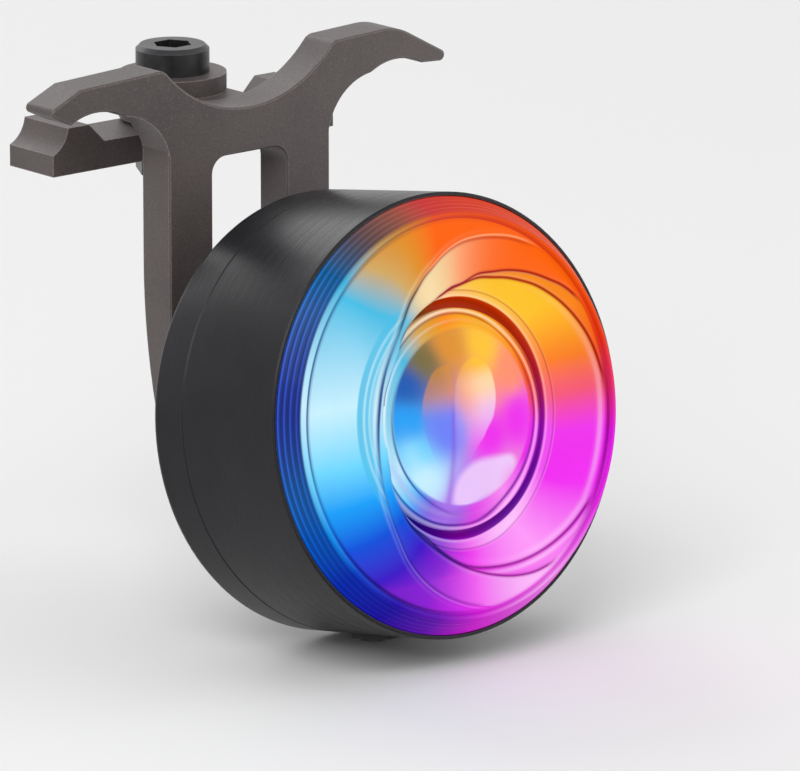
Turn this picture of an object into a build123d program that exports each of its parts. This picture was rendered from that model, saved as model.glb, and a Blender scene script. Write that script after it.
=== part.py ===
from build123d import *
import math
import os

os.makedirs("parts", exist_ok=True)

# A round bicycle tail light that hangs from the two rails of a saddle.
# Frame: Z is up, the lens looks towards -Y and the rails run along Y. The origin lies midway
# between the two rail axes, in the middle of the bracket plate's thickness. Millimetres.

# Saddle rails that the bracket hangs from
rail_spacing = 44.0
rail_diameter = 7.0
rail_play = 0.1

# Bracket plate
plate_thickness = 4.8
plate_half_width = 11.8
plate_bottom = -39.5
plate_corner = 7.0
plate_edge_break = 0.2
neck_top = 1.2
neck_radius = 16.0
window_half_width = 5.45
window_top = -4.05
window_bottom = -22.5
window_corner = 2.0
back_curve_start = -16.0
back_curve_radius = 70.0
armpit_z = -2.5
armpit_bow = 1.9
armpit_bow_z = 0.6

# Hook arms, the left one square topped and the right one rounded
hook_radius = 7.7
hook_half_span = 3.7
shoulder_x = 12.4
left_crown_z = 6.55
left_crown_x = 24.4
left_tip_x = 29.3
left_tip_z = 4.35
left_tip_round = 0.6
right_crown_z = 7.5
right_crown_x = 21.8
right_crown_round = 8.0
right_tip_x = 31.4
right_tip_z = 2.3
right_tip_round = 0.65
shoulder_round = 1.6

# Spine and boss behind the plate, with the clamp bar under them
spine_half_width = 5.0
spine_top = 0.9
spine_bottom = -2.2
boss_y = 11.6
boss_radius = 6.2
boss_top = 3.0
clamp_nut_height = 4.0
clamp_nut_flats = 8.0
nut_pocket_depth = 1.2
nut_pocket_play = 0.08
clamp_travel = 4.0
clamp_screw_diameter = 5.0
clamp_screw_tail = 0.8
clamp_head_diameter = 8.5
clamp_head_height = 3.2
clamp_key_flats = 4.0
clamp_key_depth = 1.8
clamp_screw_break = 0.5
bar_half_length = 20.6
bar_width = 8.0
bar_bottom = -5.8
bar_gap = 0.4
pad_top = -0.4
pad_half_start = 15.4
pad_slope = 2.2
hole_play = 0.05

# Tilt pivot between the plate and the lamp
pivot_drop = 32.9
pivot_reach = 6.2
lug_reach = 7.2
lamp_tilt = 9.3
lug_width = 5.0
lug_radius = 3.6
lug_flange_thickness = 2.5
lug_flange_length = 17.0
lug_flange_height = 11.0
lug_flange_corner = 2.5
tongue_sink = 0.25
side_play = 0.03
washer_thickness = 0.5
cheek_thickness = 2.6
cheek_sink = 0.5
pivot_bolt_diameter = 3.0
pivot_head_diameter = 5.5
pivot_head_height = 3.0
pivot_key_flats = 2.5
pivot_nut_flats = 5.5
pivot_nut_height = 2.4
pivot_bolt_tail = 0.8
bolt_break = 0.3

# Lamp drum: heights along its axis are counted forward from the front rim
drum_radius = 25.0
drum_wall = 1.6
drum_length = 21.4
seam_depth = 16.0
seam_break = 0.15
back_edge_radius = 0.8
rim_wall = 0.4
lens_seat_depth = 1.6
ledge_width = 2.2
ledge_thickness = 1.2
led_board_depth = 5.0
led_board_thickness = 1.0
screw_boss_radius = 2.2
boss_web = 1.6
cover_screw_diameter = 2.0
cover_screw_bite = 5.0
cover_head_diameter = 3.8
cover_head_height = 1.3
cover_head_recess = 0.2
cover_key_flats = 1.5
cover_key_depth = 0.7
screw_end_room = 0.3
cover_screw_count = 3
cover_screw_start = 90.0
cover_floor = 3.6
spigot_wall = 1.7
spigot_play = 0.1
main_board_thickness = 1.0
lug_screw_spacing = 12.4
lug_screw_diameter = 2.5
lug_screw_head = 4.7
lug_screw_length = 5.4
lug_key_radius = 0.8
lug_key_depth = 0.9

# Seals
ring_section = 1.0
ring_squeeze_gap = 0.02
groove_width = 1.1
lens_ring_depth = 2.6
cover_ring_shoulder = 0.6
cover_ring_foot = 0.4

# Lens, whose swirl is cut from a shallow dish by eccentric steps
lens_play = 0.1
lens_skirt_wall = 1.4
lens_skirt_end = 3.6
rib_band = 1.5
lens_rim_height = 2.9
lens_rim_roll = 0.45
lens_back_height = -0.4
dish_inner_height = 2.1
dish_inner_radius = 12.6
rib_count = 5
rib_depth = 0.14
well_radius = 14.6
well_floor = 0.55
centre_hole_radius = 12.7
dish_edge_inset = 0.7
swirl_steps = [
    # centre x, centre y, how much smaller than the dish, floor height left of the well and right
    (8.6, -1.7, 0.6, 1.75, 2.6),
    (6.0, -0.9, 5.1, 1.4, 2.3),
]

# Centre lens
centre_flange_radius = 12.55
centre_flange_height = 1.35
centre_ring_height = 1.95
centre_ring_slope = 0.55
centre_ring_crest = 0.35
centre_groove_depth = 0.15
centre_groove_width = 0.2
centre_band_width = 1.15
centre_band_rise = 0.6
dome_rise = 1.9
centre_lens_back = -0.4

# Reflector, light-emitting chips and boards
reflector_flange_thickness = 1.2
reflector_play = 0.2
reflector_draft = 0.6
reflector_front = -0.75
reflector_floor = 1.0
reflector_ring_inner = 11.8
reflector_ring_wall = 1.0
reflector_outer_wall = 1.2
chip_inset = 4.9
chip_count = 8
chip_size = 3.0
chip_corner = 0.3
chip_height = 0.8
chip_window = 4.2
centre_chip_size = 4.0
centre_window_play = 0.6
board_play = 0.3
battery_side_gap = 1.8
battery_height = 25.0
battery_top_gap = 1.4
battery_front_gap = 1.0
battery_corner = 1.2
pad_thickness = 0.3
pad_inset = 1.5
link_edge = 5.8
link_width = 2.4
link_length = 8.0
controller_size = 6.0
controller_height = 1.1
sensor_size = 3.0
sensor_x = 7.5

# Charging socket at the bottom of the drum, and the flap over it
socket_width = 8.94
socket_height = 3.26
socket_length = 7.3
socket_wall = 0.3
socket_mouth_gap = 0.25
socket_end_wall = 1.0
tongue_width = 6.6
tongue_height = 0.7
tongue_length = 4.6
port_play = 0.3
flap_pocket_depth = 0.8
flap_length = 11.6
flap_width = 6.4
flap_play = 0.25
flap_thickness = 0.7
flap_plug_depth = 0.85
flap_plug_inset = 0.35
flap_corner = 1.0
flap_tab = 0.9
flap_tab_height = 0.3

# Power button on the right side of the drum, longer round the drum than along it
button_length = 9.0
button_width = 4.2
button_play = 0.1
button_proud = 0.35
button_lip = 0.4
button_flange_thickness = 0.8
button_flange_gap = 0.35
button_travel = 0.5
button_dish = 0.15
button_dish_inset = 1.2
button_round = 0.3
switch_width = 4.5
switch_height = 4.4
switch_depth = 3.2
switch_stem = 2.0
switch_stem_length = 0.8
switch_gap = 0.05

# How far a cutting shape reaches past the wall that it cuts
cut_over = 1.0

# Derived places
rail_x = rail_spacing / 2
rail_radius = rail_diameter / 2
hook_apex_z = rail_radius + rail_play
hook_centre_z = hook_apex_z - hook_radius
hook_end_z = hook_centre_z + math.sqrt(hook_radius**2 - hook_half_span**2)
plate_front = -plate_thickness / 2
plate_back = plate_thickness / 2
cheek_inner = lug_width / 2 + side_play + washer_thickness
cheek_outer = cheek_inner + cheek_thickness
pivot_centre = Vector(0, plate_front - pivot_reach, -pivot_drop)
pivot_axis = Axis(pivot_centre, (1, 0, 0))
lamp_forward = Vector(0, -math.cos(math.radians(lamp_tilt)), math.sin(math.radians(lamp_tilt)))
lamp_up = Vector(0, math.sin(math.radians(lamp_tilt)), math.cos(math.radians(lamp_tilt)))
lamp_right = Vector(1, 0, 0)
rim_centre = pivot_centre + lamp_forward * (lug_reach + drum_length)
lamp_axis = Axis(rim_centre, lamp_forward)
lamp_axis_up = Axis(rim_centre, lamp_up)
lamp_section = Plane(origin=rim_centre, x_dir=lamp_right, z_dir=lamp_right.cross(lamp_forward))
bore_radius = drum_radius - drum_wall
seat_radius = drum_radius - rim_wall
boss_circle = bore_radius - screw_boss_radius - boss_web
led_board_back = -led_board_depth - led_board_thickness
ledge_back = led_board_back - ledge_thickness
cover_ring_depth = seam_depth - cover_ring_foot - groove_width / 2
spigot_top_depth = cover_ring_depth - groove_width / 2 - cover_ring_shoulder
main_board_back = -spigot_top_depth
main_board_front = main_board_back + main_board_thickness
cover_inside = -drum_length + cover_floor
ring_radius = ring_section / 2
ring_centre_radius = bore_radius - ring_radius - ring_squeeze_gap
groove_floor_radius = ring_centre_radius - ring_radius - ring_squeeze_gap
socket_level = main_board_front + socket_height / 2
button_level = (main_board_front + ledge_back) / 2
flange_radius = seat_radius - lens_play
skirt_radius = bore_radius - lens_play
skirt_inside = skirt_radius - lens_skirt_wall
lens_rim_radius = flange_radius - rib_band
dish_edge_radius = lens_rim_radius - dish_edge_inset
board_radius = bore_radius - board_play
reflector_radius = skirt_inside - reflector_play
chip_circle = reflector_radius - chip_inset
pocket_radius = drum_radius - flap_pocket_depth
socket_mouth = bore_radius - math.sqrt(bore_radius**2 - (socket_width / 2) ** 2)
flange_length = button_length + 2 * button_lip
flange_outer_x = math.sqrt(bore_radius**2 - (flange_length / 2) ** 2) - button_flange_gap


def lamp_plane(height):
    """Plane square to the lamp axis, its x to the right and its y up."""
    return Plane(origin=rim_centre + lamp_forward * height, x_dir=lamp_right, z_dir=lamp_forward)


def lamp_point(x, y, height):
    """Point from lamp coordinates: right, up and forward from the rim centre."""
    return rim_centre + lamp_right * x + lamp_up * y + lamp_forward * height


def side_plane(x):
    """Plane facing right at a distance from the lamp axis, level with the button."""
    return Plane(origin=lamp_point(x, 0, button_level), x_dir=lamp_up, z_dir=lamp_right)


def below_plane(depth):
    """Plane facing down at a distance below the lamp axis, level with the socket."""
    return Plane(origin=lamp_point(0, -depth, socket_level), x_dir=lamp_right, z_dir=-lamp_up)


def save(part, name):
    part.label = name
    export_step(part, "parts/" + name + ".step")


# Rail bracket: plate, two hook arms, spine with the clamp boss, and the two pivot cheeks
with BuildPart() as rail_bracket:
    with BuildSketch(Plane.XZ.offset(-plate_back)):
        with BuildLine():
            neck_arc_drop = math.sqrt(neck_radius**2 - shoulder_x**2)
            shoulder_edge_z = neck_top + neck_radius - neck_arc_drop
            ThreePointArc((-shoulder_x, shoulder_edge_z), (0, neck_top), (shoulder_x, shoulder_edge_z))
            Polyline(
                (shoulder_x, shoulder_edge_z),
                (right_crown_x, right_crown_z),
                (right_tip_x, right_tip_z),
                (rail_x + hook_half_span, hook_end_z),
            )
            ThreePointArc(
                (rail_x + hook_half_span, hook_end_z),
                (rail_x, hook_apex_z),
                (rail_x - hook_half_span, hook_end_z),
            )
            ThreePointArc(
                (rail_x - hook_half_span, hook_end_z),
                (plate_half_width + armpit_bow, armpit_bow_z),
                (plate_half_width, armpit_z),
            )
            Polyline(
                (plate_half_width, armpit_z),
                (plate_half_width, plate_bottom),
                (-plate_half_width, plate_bottom),
                (-plate_half_width, armpit_z),
            )
            ThreePointArc(
                (-plate_half_width, armpit_z),
                (-plate_half_width - armpit_bow, armpit_bow_z),
                (-rail_x + hook_half_span, hook_end_z),
            )
            ThreePointArc(
                (-rail_x + hook_half_span, hook_end_z),
                (-rail_x, hook_apex_z),
                (-rail_x - hook_half_span, hook_end_z),
            )
            Polyline(
                (-rail_x - hook_half_span, hook_end_z),
                (-left_tip_x, left_tip_z),
                (-left_crown_x, left_crown_z),
                (-shoulder_x, shoulder_edge_z),
            )
        make_face()
        bottom_corners = vertices().group_by(Axis.Y)[0]
        fillet(bottom_corners, radius=plate_corner)
        with Locations((0, (window_top + window_bottom) / 2)):
            RectangleRounded(
                2 * window_half_width, window_top - window_bottom, window_corner, mode=Mode.SUBTRACT
            )
    extrude(amount=plate_thickness)
    rounded_corners = (
        (-shoulder_x, shoulder_edge_z, shoulder_round),
        (shoulder_x, shoulder_edge_z, shoulder_round),
        (right_crown_x, right_crown_z, right_crown_round),
        (right_tip_x, right_tip_z, right_tip_round),
        (-left_tip_x, left_tip_z, left_tip_round),
    )
    for corner_x, corner_z, corner_round in rounded_corners:
        corner_edge = edges().filter_by(Axis.Y).sort_by_distance((corner_x, 0, corner_z))[0]
        fillet(corner_edge, radius=corner_round)
    with BuildSketch(Plane.YZ.offset(-plate_half_width - 1)):
        with BuildLine():
            curve_drop = back_curve_start - plate_bottom + 1
            curve_in = back_curve_radius - math.sqrt(back_curve_radius**2 - curve_drop**2)
            half_in = back_curve_radius - math.sqrt(back_curve_radius**2 - (curve_drop / 2) ** 2)
            ThreePointArc(
                (plate_back, back_curve_start),
                (plate_back - half_in, back_curve_start - curve_drop / 2),
                (plate_back - curve_in, back_curve_start - curve_drop),
            )
            Polyline(
                (plate_back - curve_in, back_curve_start - curve_drop),
                (plate_back + 1, back_curve_start - curve_drop),
                (plate_back + 1, back_curve_start),
                (plate_back, back_curve_start),
            )
        make_face()
    extrude(amount=2 * plate_half_width + 2, mode=Mode.SUBTRACT)
    armpit_end = rail_x - hook_half_span
    broken_edges = [
        edge
        for edge in faces().sort_by(Axis.Y)[0].edges()
        if (edge @ 0.5).Z > hook_end_z or not plate_half_width < abs((edge @ 0.5).X) < armpit_end
    ]
    chamfer(broken_edges, length=plate_edge_break)
    with BuildSketch(Plane.XY.offset(spine_bottom)):
        with Locations((0, (plate_back + boss_y) / 2 - plate_edge_break)):
            Rectangle(2 * spine_half_width, boss_y - plate_back + 2 * plate_edge_break)
    extrude(amount=spine_top - spine_bottom)
    with BuildSketch(Plane.XY.offset(spine_bottom)):
        with Locations((0, boss_y)):
            Circle(boss_radius)
    extrude(amount=boss_top - spine_bottom)
    with BuildSketch(Plane.XY.offset(spine_bottom)):
        with Locations((0, boss_y)):
            Circle(clamp_screw_diameter / 2 + hole_play)
    extrude(amount=boss_top - spine_bottom, mode=Mode.SUBTRACT)
    for side in (-1, 1):
        cheek_x = cheek_inner if side > 0 else -cheek_outer
        with BuildSketch(Plane.YZ.offset(cheek_x)):
            with Locations((pivot_centre.Y, pivot_centre.Z)):
                Circle(lug_radius)
            with Locations(((pivot_centre.Y + plate_front + cheek_sink) / 2, pivot_centre.Z)):
                Rectangle(pivot_reach + cheek_sink, 2 * lug_radius)
            with Locations((pivot_centre.Y, pivot_centre.Z)):
                Circle(pivot_bolt_diameter / 2 + hole_play, mode=Mode.SUBTRACT)
        extrude(amount=cheek_thickness)
save(rail_bracket.part, "rail_bracket")

# Clamp bar: lies across under the spine, with a hollow at each end for the rail's inner side
bar_top = spine_bottom - bar_gap
with BuildPart() as clamp_bar:
    with BuildSketch(Plane.XZ.offset(-boss_y - bar_width / 2)):
        with BuildLine():
            Polyline(
                (-bar_half_length, bar_bottom),
                (bar_half_length, bar_bottom),
                (bar_half_length, pad_top),
                (pad_half_start, pad_top),
                (pad_half_start - pad_slope, bar_top),
                (-pad_half_start + pad_slope, bar_top),
                (-pad_half_start, pad_top),
                (-bar_half_length, pad_top),
                close=True,
            )
        make_face()
        with Locations((-rail_x, 0), (rail_x, 0)):
            Circle(rail_radius + rail_play, mode=Mode.SUBTRACT)
    extrude(amount=bar_width)
    with BuildSketch(Plane.XY.offset(bar_bottom)):
        with Locations((0, boss_y)):
            Circle(clamp_screw_diameter / 2 + hole_play)
    extrude(amount=bar_top - bar_bottom, mode=Mode.SUBTRACT)
    with BuildSketch(Plane.XY.offset(bar_bottom)):
        with Locations((0, boss_y)):
            RegularPolygon(clamp_nut_flats / 2 + nut_pocket_play, 6, major_radius=False)
    extrude(amount=nut_pocket_depth, mode=Mode.SUBTRACT)
save(clamp_bar.part, "clamp_bar")

# Clamp screw: its head turns on top of the boss and its shank reaches down through the bar
nut_seat = bar_bottom + nut_pocket_depth
clamp_screw_end = nut_seat - clamp_nut_height - clamp_travel - clamp_screw_tail
with BuildPart() as clamp_screw:
    with BuildSketch(Plane.XY.offset(boss_top)):
        with Locations((0, boss_y)):
            Circle(clamp_head_diameter / 2)
    extrude(amount=clamp_head_height)
    chamfer(edges().group_by(Axis.Z)[-1], length=clamp_screw_break)
    with BuildSketch(Plane.XY.offset(clamp_screw_end)):
        with Locations((0, boss_y)):
            Circle(clamp_screw_diameter / 2)
    extrude(amount=boss_top - clamp_screw_end)
    chamfer(edges().group_by(Axis.Z)[0], length=clamp_screw_break)
    with BuildSketch(Plane.XY.offset(boss_top + clamp_head_height)):
        with Locations((0, boss_y)):
            RegularPolygon(clamp_key_flats / 2, 6, major_radius=False)
    extrude(amount=-clamp_key_depth, mode=Mode.SUBTRACT)
save(clamp_screw.part, "clamp_screw")

# Clamp nut, held from turning by the hexagon pocket under the bar
with BuildPart() as clamp_nut:
    with BuildSketch(Plane.XY.offset(nut_seat - clamp_nut_height)):
        with Locations((0, boss_y)):
            RegularPolygon(clamp_nut_flats / 2, 6, major_radius=False)
            Circle(clamp_screw_diameter / 2 + hole_play, mode=Mode.SUBTRACT)
    extrude(amount=clamp_nut_height)
save(clamp_nut.part, "clamp_nut")

# Pivot bolt through both cheeks and the lug
bolt_start = -cheek_outer - pivot_nut_height - pivot_bolt_tail
pivot_plane = Plane(origin=(0, pivot_centre.Y, pivot_centre.Z), x_dir=(0, 1, 0), z_dir=(1, 0, 0))
with BuildPart() as pivot_bolt:
    with BuildSketch(pivot_plane.offset(bolt_start)):
        Circle(pivot_bolt_diameter / 2)
    extrude(amount=cheek_outer - bolt_start)
    chamfer(edges().group_by(Axis.X)[0], length=bolt_break)
    with BuildSketch(pivot_plane.offset(cheek_outer)):
        Circle(pivot_head_diameter / 2)
    extrude(amount=pivot_head_height)
    chamfer(edges().group_by(Axis.X)[-1], length=bolt_break)
    with BuildSketch(pivot_plane.offset(cheek_outer + pivot_head_height)):
        RegularPolygon(pivot_key_flats / 2, 6, major_radius=False)
    extrude(amount=-pivot_head_height / 2, mode=Mode.SUBTRACT)
save(pivot_bolt.part, "pivot_bolt")

# Pivot nut on the left cheek
with BuildPart() as pivot_nut:
    with BuildSketch(pivot_plane.offset(-cheek_outer - pivot_nut_height)):
        RegularPolygon(pivot_nut_flats / 2, 6, major_radius=False)
        Circle(pivot_bolt_diameter / 2 + hole_play, mode=Mode.SUBTRACT)
    extrude(amount=pivot_nut_height)
save(pivot_nut.part, "pivot_nut")

# Friction washers, one on each side of the lug
with BuildPart() as tilt_washers:
    for start in (-cheek_inner, cheek_inner - washer_thickness):
        with BuildSketch(pivot_plane.offset(start)):
            Circle(lug_radius)
            Circle(pivot_bolt_diameter / 2 + hole_play, mode=Mode.SUBTRACT)
        extrude(amount=washer_thickness)
save(tilt_washers.part, "tilt_washers")

# Tilt lug: flange screwed to the rear cover, with the tongue that the bolt passes through
lug_back = -drum_length - lug_flange_thickness
with BuildPart() as tilt_lug:
    with BuildSketch(lamp_plane(lug_back)):
        RectangleRounded(lug_flange_length, lug_flange_height, lug_flange_corner)
    extrude(amount=lug_flange_thickness)
    tongue_plane = Plane(origin=pivot_centre - lamp_right * (lug_width / 2), x_dir=lamp_forward,
                         z_dir=lamp_right)
    with BuildSketch(tongue_plane):
        Circle(lug_radius)
        with Locations(((lug_reach - tongue_sink) / 2, 0)):
            Rectangle(lug_reach - tongue_sink, 2 * lug_radius)
        Circle(pivot_bolt_diameter / 2 + hole_play, mode=Mode.SUBTRACT)
    extrude(amount=lug_width)
    head_rim = (lug_screw_head - lug_screw_diameter) / 2
    with BuildSketch(lamp_plane(lug_back)):
        with Locations((-lug_screw_spacing / 2, 0), (lug_screw_spacing / 2, 0)):
            Circle(lug_screw_diameter / 2 + hole_play)
    extrude(amount=lug_flange_thickness, mode=Mode.SUBTRACT)
    for x in (-lug_screw_spacing / 2, lug_screw_spacing / 2):
        with BuildSketch(lamp_plane(lug_back)):
            with Locations((x, 0)):
                Circle(lug_screw_head / 2 + hole_play)
        with BuildSketch(lamp_plane(lug_back + head_rim)):
            with Locations((x, 0)):
                Circle(lug_screw_diameter / 2 + hole_play)
        loft(mode=Mode.SUBTRACT)
save(tilt_lug.part, "tilt_lug")

# Lug screws: countersunk, through the flange into the cover
with BuildPart() as lug_screws:
    for x in (-lug_screw_spacing / 2, lug_screw_spacing / 2):
        screw_line = Axis(lamp_point(x, 0, 0), lamp_forward)
        screw_section = Plane(origin=lamp_point(x, 0, lug_back), x_dir=lamp_right,
                              z_dir=lamp_right.cross(lamp_forward))
        with BuildSketch(screw_section):
            Polygon(
                (0, lug_key_depth),
                (lug_key_radius, lug_key_depth),
                (lug_key_radius, 0),
                (lug_screw_head / 2, 0),
                (lug_screw_diameter / 2, head_rim),
                (lug_screw_diameter / 2, lug_screw_length),
                (0, lug_screw_length),
                align=None,
            )
        revolve(axis=screw_line)
save(lug_screws.part, "lug_screws")

# Drum housing: tube with the lens seat in front, an inner ledge, three screw bosses, the button
# hole on the right and the charging port with its shallow pocket below
with BuildPart() as housing:
    with BuildSketch(lamp_section):
        with BuildLine():
            Polyline(
                (seat_radius, 0),
                (drum_radius - seam_break, 0),
                (drum_radius, -seam_break),
                (drum_radius, -seam_depth + seam_break),
                (drum_radius - seam_break, -seam_depth),
                (bore_radius, -seam_depth),
                (bore_radius, ledge_back),
                (bore_radius - ledge_width, ledge_back),
                (bore_radius - ledge_width, led_board_back),
                (bore_radius, led_board_back),
                (bore_radius, -lens_seat_depth),
                (seat_radius, -lens_seat_depth),
                close=True,
            )
        make_face()
    revolve(axis=lamp_axis)
    web_reach = bore_radius + drum_wall / 2 - boss_circle
    with BuildSketch(lamp_plane(main_board_front)):
        with PolarLocations(boss_circle, cover_screw_count, start_angle=cover_screw_start):
            Circle(screw_boss_radius)
        with PolarLocations(boss_circle + web_reach / 2, cover_screw_count, start_angle=cover_screw_start):
            Rectangle(web_reach, screw_boss_radius)
    extrude(amount=led_board_back - main_board_front)
    with BuildSketch(lamp_plane(main_board_front)):
        with PolarLocations(boss_circle, cover_screw_count, start_angle=cover_screw_start):
            Circle(cover_screw_diameter / 2 + hole_play)
    extrude(amount=cover_screw_bite + screw_end_room, mode=Mode.SUBTRACT)
    with BuildSketch(side_plane(flange_outer_x)):
        SlotOverall(button_length, button_width)
    extrude(amount=drum_radius + cut_over - flange_outer_x, mode=Mode.SUBTRACT)
    with BuildSketch(below_plane(pocket_radius)):
        Rectangle(flap_length + 2 * flap_play, flap_width + 2 * flap_play)
    extrude(amount=flap_pocket_depth + cut_over, mode=Mode.SUBTRACT)
    with BuildSketch(below_plane(bore_radius - socket_mouth - cut_over)):
        SlotOverall(socket_width + 2 * port_play, socket_height + 2 * port_play)
    extrude(amount=pocket_radius - bore_radius + socket_mouth + 2 * cut_over, mode=Mode.SUBTRACT)
save(housing.part, "housing")

# Rear cover: thick floor, rounded back edge and a spigot that centres it in the drum
spigot_radius = bore_radius - spigot_play
with BuildPart() as rear_cover:
    with BuildSketch(lamp_section):
        with BuildLine():
            Polyline(
                (0, cover_inside),
                (spigot_radius - spigot_wall, cover_inside),
                (spigot_radius - spigot_wall, -spigot_top_depth),
                (spigot_radius, -spigot_top_depth),
                (spigot_radius, -cover_ring_depth + groove_width / 2),
                (groove_floor_radius, -cover_ring_depth + groove_width / 2),
                (groove_floor_radius, -cover_ring_depth - groove_width / 2),
                (spigot_radius, -cover_ring_depth - groove_width / 2),
                (spigot_radius, -seam_depth),
                (drum_radius - seam_break, -seam_depth),
                (drum_radius, -seam_depth - seam_break),
                (drum_radius, -drum_length + back_edge_radius),
            )
            RadiusArc(
                (drum_radius, -drum_length + back_edge_radius),
                (drum_radius - back_edge_radius, -drum_length),
                back_edge_radius,
            )
            Polyline(
                (drum_radius - back_edge_radius, -drum_length),
                (0, -drum_length),
                (0, cover_inside),
            )
        make_face()
    revolve(axis=lamp_axis)
    with BuildSketch(lamp_plane(-drum_length)):
        with PolarLocations(boss_circle, cover_screw_count, start_angle=cover_screw_start):
            Circle(screw_boss_radius)
    extrude(amount=drum_length - spigot_top_depth)
    with BuildSketch(lamp_plane(-drum_length)):
        with PolarLocations(boss_circle, cover_screw_count, start_angle=cover_screw_start):
            Circle(cover_screw_diameter / 2 + hole_play)
    extrude(amount=drum_length - spigot_top_depth, mode=Mode.SUBTRACT)
    with BuildSketch(lamp_plane(-drum_length)):
        with PolarLocations(boss_circle, cover_screw_count, start_angle=cover_screw_start):
            Circle(cover_head_diameter / 2 + hole_play)
    extrude(amount=cover_head_height + cover_head_recess, mode=Mode.SUBTRACT)
    with BuildSketch(lamp_plane(-drum_length)):
        with Locations((-lug_screw_spacing / 2, 0), (lug_screw_spacing / 2, 0)):
            Circle(lug_screw_diameter / 2 + hole_play)
    extrude(amount=lug_screw_length - lug_flange_thickness + screw_end_room, mode=Mode.SUBTRACT)
save(rear_cover.part, "rear_cover")

# Cover screws, from behind through the cover and the main board into the drum's bosses
with BuildPart() as cover_screws:
    head_seat = -drum_length + cover_head_height + cover_head_recess
    with BuildSketch(lamp_plane(head_seat)):
        with PolarLocations(boss_circle, cover_screw_count, start_angle=cover_screw_start):
            Circle(cover_head_diameter / 2)
    extrude(amount=-cover_head_height)
    with BuildSketch(lamp_plane(head_seat)):
        with PolarLocations(boss_circle, cover_screw_count, start_angle=cover_screw_start):
            Circle(cover_screw_diameter / 2)
    extrude(amount=main_board_front + cover_screw_bite - head_seat)
    with BuildSketch(lamp_plane(head_seat - cover_head_height)):
        with PolarLocations(boss_circle, cover_screw_count, start_angle=cover_screw_start):
            RegularPolygon(cover_key_flats / 2, 6, major_radius=False)
    extrude(amount=cover_key_depth, mode=Mode.SUBTRACT)
save(cover_screws.part, "cover_screws")


def sealing_ring(name, depth):
    """Round rubber ring in its groove, against the drum's bore."""
    with BuildPart() as ring:
        with BuildSketch(lamp_section):
            with Locations((ring_centre_radius, -depth)):
                Circle(ring_radius)
        revolve(axis=lamp_axis)
    save(ring.part, name)


sealing_ring("cover_seal", cover_ring_depth)
sealing_ring("lens_seal", lens_ring_depth)

# Swirl lens: a ribbed rim, a shallow dish cut by eccentric steps, a well and a centre hole
with BuildPart() as lens:
    with BuildSketch(lamp_section):
        with BuildLine():
            rib_run = flange_radius - lens_rim_radius - lens_rim_roll / 2
            rib_rise = lens_rim_height - lens_rim_roll
            rib_points = [(flange_radius, 0)]
            for rib in range(rib_count):
                start = rib / rib_count
                middle = (rib + 0.5) / rib_count
                rib_points.append((flange_radius - rib_run * start - rib_depth, rib_rise * middle))
                end = (rib + 1) / rib_count
                rib_points.append((flange_radius - rib_run * end, rib_rise * end))
            Polyline(
                (skirt_inside, -lens_skirt_end),
                (skirt_radius, -lens_skirt_end),
                (skirt_radius, -lens_ring_depth - groove_width / 2),
                (groove_floor_radius, -lens_ring_depth - groove_width / 2),
                (groove_floor_radius, -lens_ring_depth + groove_width / 2),
                (skirt_radius, -lens_ring_depth + groove_width / 2),
                (skirt_radius, -lens_seat_depth),
                (flange_radius, -lens_seat_depth),
                *rib_points,
            )
            ThreePointArc(
                rib_points[-1],
                (lens_rim_radius, lens_rim_height),
                (lens_rim_radius - lens_rim_roll, lens_rim_height - lens_rim_roll * 0.4),
            )
            Polyline(
                (lens_rim_radius - lens_rim_roll, lens_rim_height - lens_rim_roll * 0.4),
                (dish_inner_radius, dish_inner_height),
                (dish_inner_radius, lens_back_height),
                (skirt_inside, lens_back_height),
                (skirt_inside, -lens_skirt_end),
            )
        make_face()
    revolve(axis=lamp_axis)
    for centre_x, centre_y, step_inset, left_height, right_height in swirl_steps:
        rise = (right_height - left_height) / (dish_edge_radius + centre_hole_radius)
        middle_height = left_height + rise * centre_hole_radius
        floor_plane = Plane(
            origin=lamp_point(0, 0, middle_height),
            x_dir=lamp_right + lamp_forward * rise,
            z_dir=lamp_forward - lamp_right * rise,
        )
        with BuildSketch(floor_plane):
            Circle(dish_edge_radius)
            with Locations((centre_x, centre_y)):
                Circle(dish_edge_radius - step_inset, mode=Mode.INTERSECT)
        extrude(amount=lens_rim_height, mode=Mode.SUBTRACT)
    first_x, first_y, first_inset = swirl_steps[0][:3]
    with BuildSketch(lamp_plane(well_floor)):
        Circle(well_radius)
        with Locations((first_x, first_y)):
            Circle(dish_edge_radius - first_inset, mode=Mode.INTERSECT)
    extrude(amount=lens_rim_height, mode=Mode.SUBTRACT)
    with BuildSketch(lamp_plane(lens_back_height)):
        Circle(centre_hole_radius)
    extrude(amount=well_floor - lens_back_height, mode=Mode.SUBTRACT)
save(lens.part, "lens")

# Centre lens: domed bullseye inside a rising band and a low ring, seated in the lens's centre hole
ring_crest_radius = centre_flange_radius - centre_ring_slope
ring_inner_radius = ring_crest_radius - centre_ring_crest
groove_foot_radius = ring_inner_radius - centre_groove_width
dome_radius = groove_foot_radius - centre_band_width
centre_groove_height = centre_ring_height - centre_groove_depth
dome_foot_height = centre_groove_height + centre_band_rise
with BuildPart() as centre_lens:
    with BuildSketch(lamp_section):
        with BuildLine():
            Polyline(
                (0, centre_lens_back),
                (centre_flange_radius, centre_lens_back),
                (centre_flange_radius, centre_flange_height),
                (ring_crest_radius, centre_ring_height),
                (ring_inner_radius, centre_ring_height),
                (groove_foot_radius, centre_groove_height),
                (dome_radius, dome_foot_height),
            )
            dome_ball = (dome_radius**2 + dome_rise**2) / (2 * dome_rise)
            RadiusArc((dome_radius, dome_foot_height), (0, dome_foot_height + dome_rise), -dome_ball)
            Line((0, dome_foot_height + dome_rise), (0, centre_lens_back))
        make_face()
    revolve(axis=lamp_axis)
save(centre_lens.part, "centre_lens")

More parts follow.
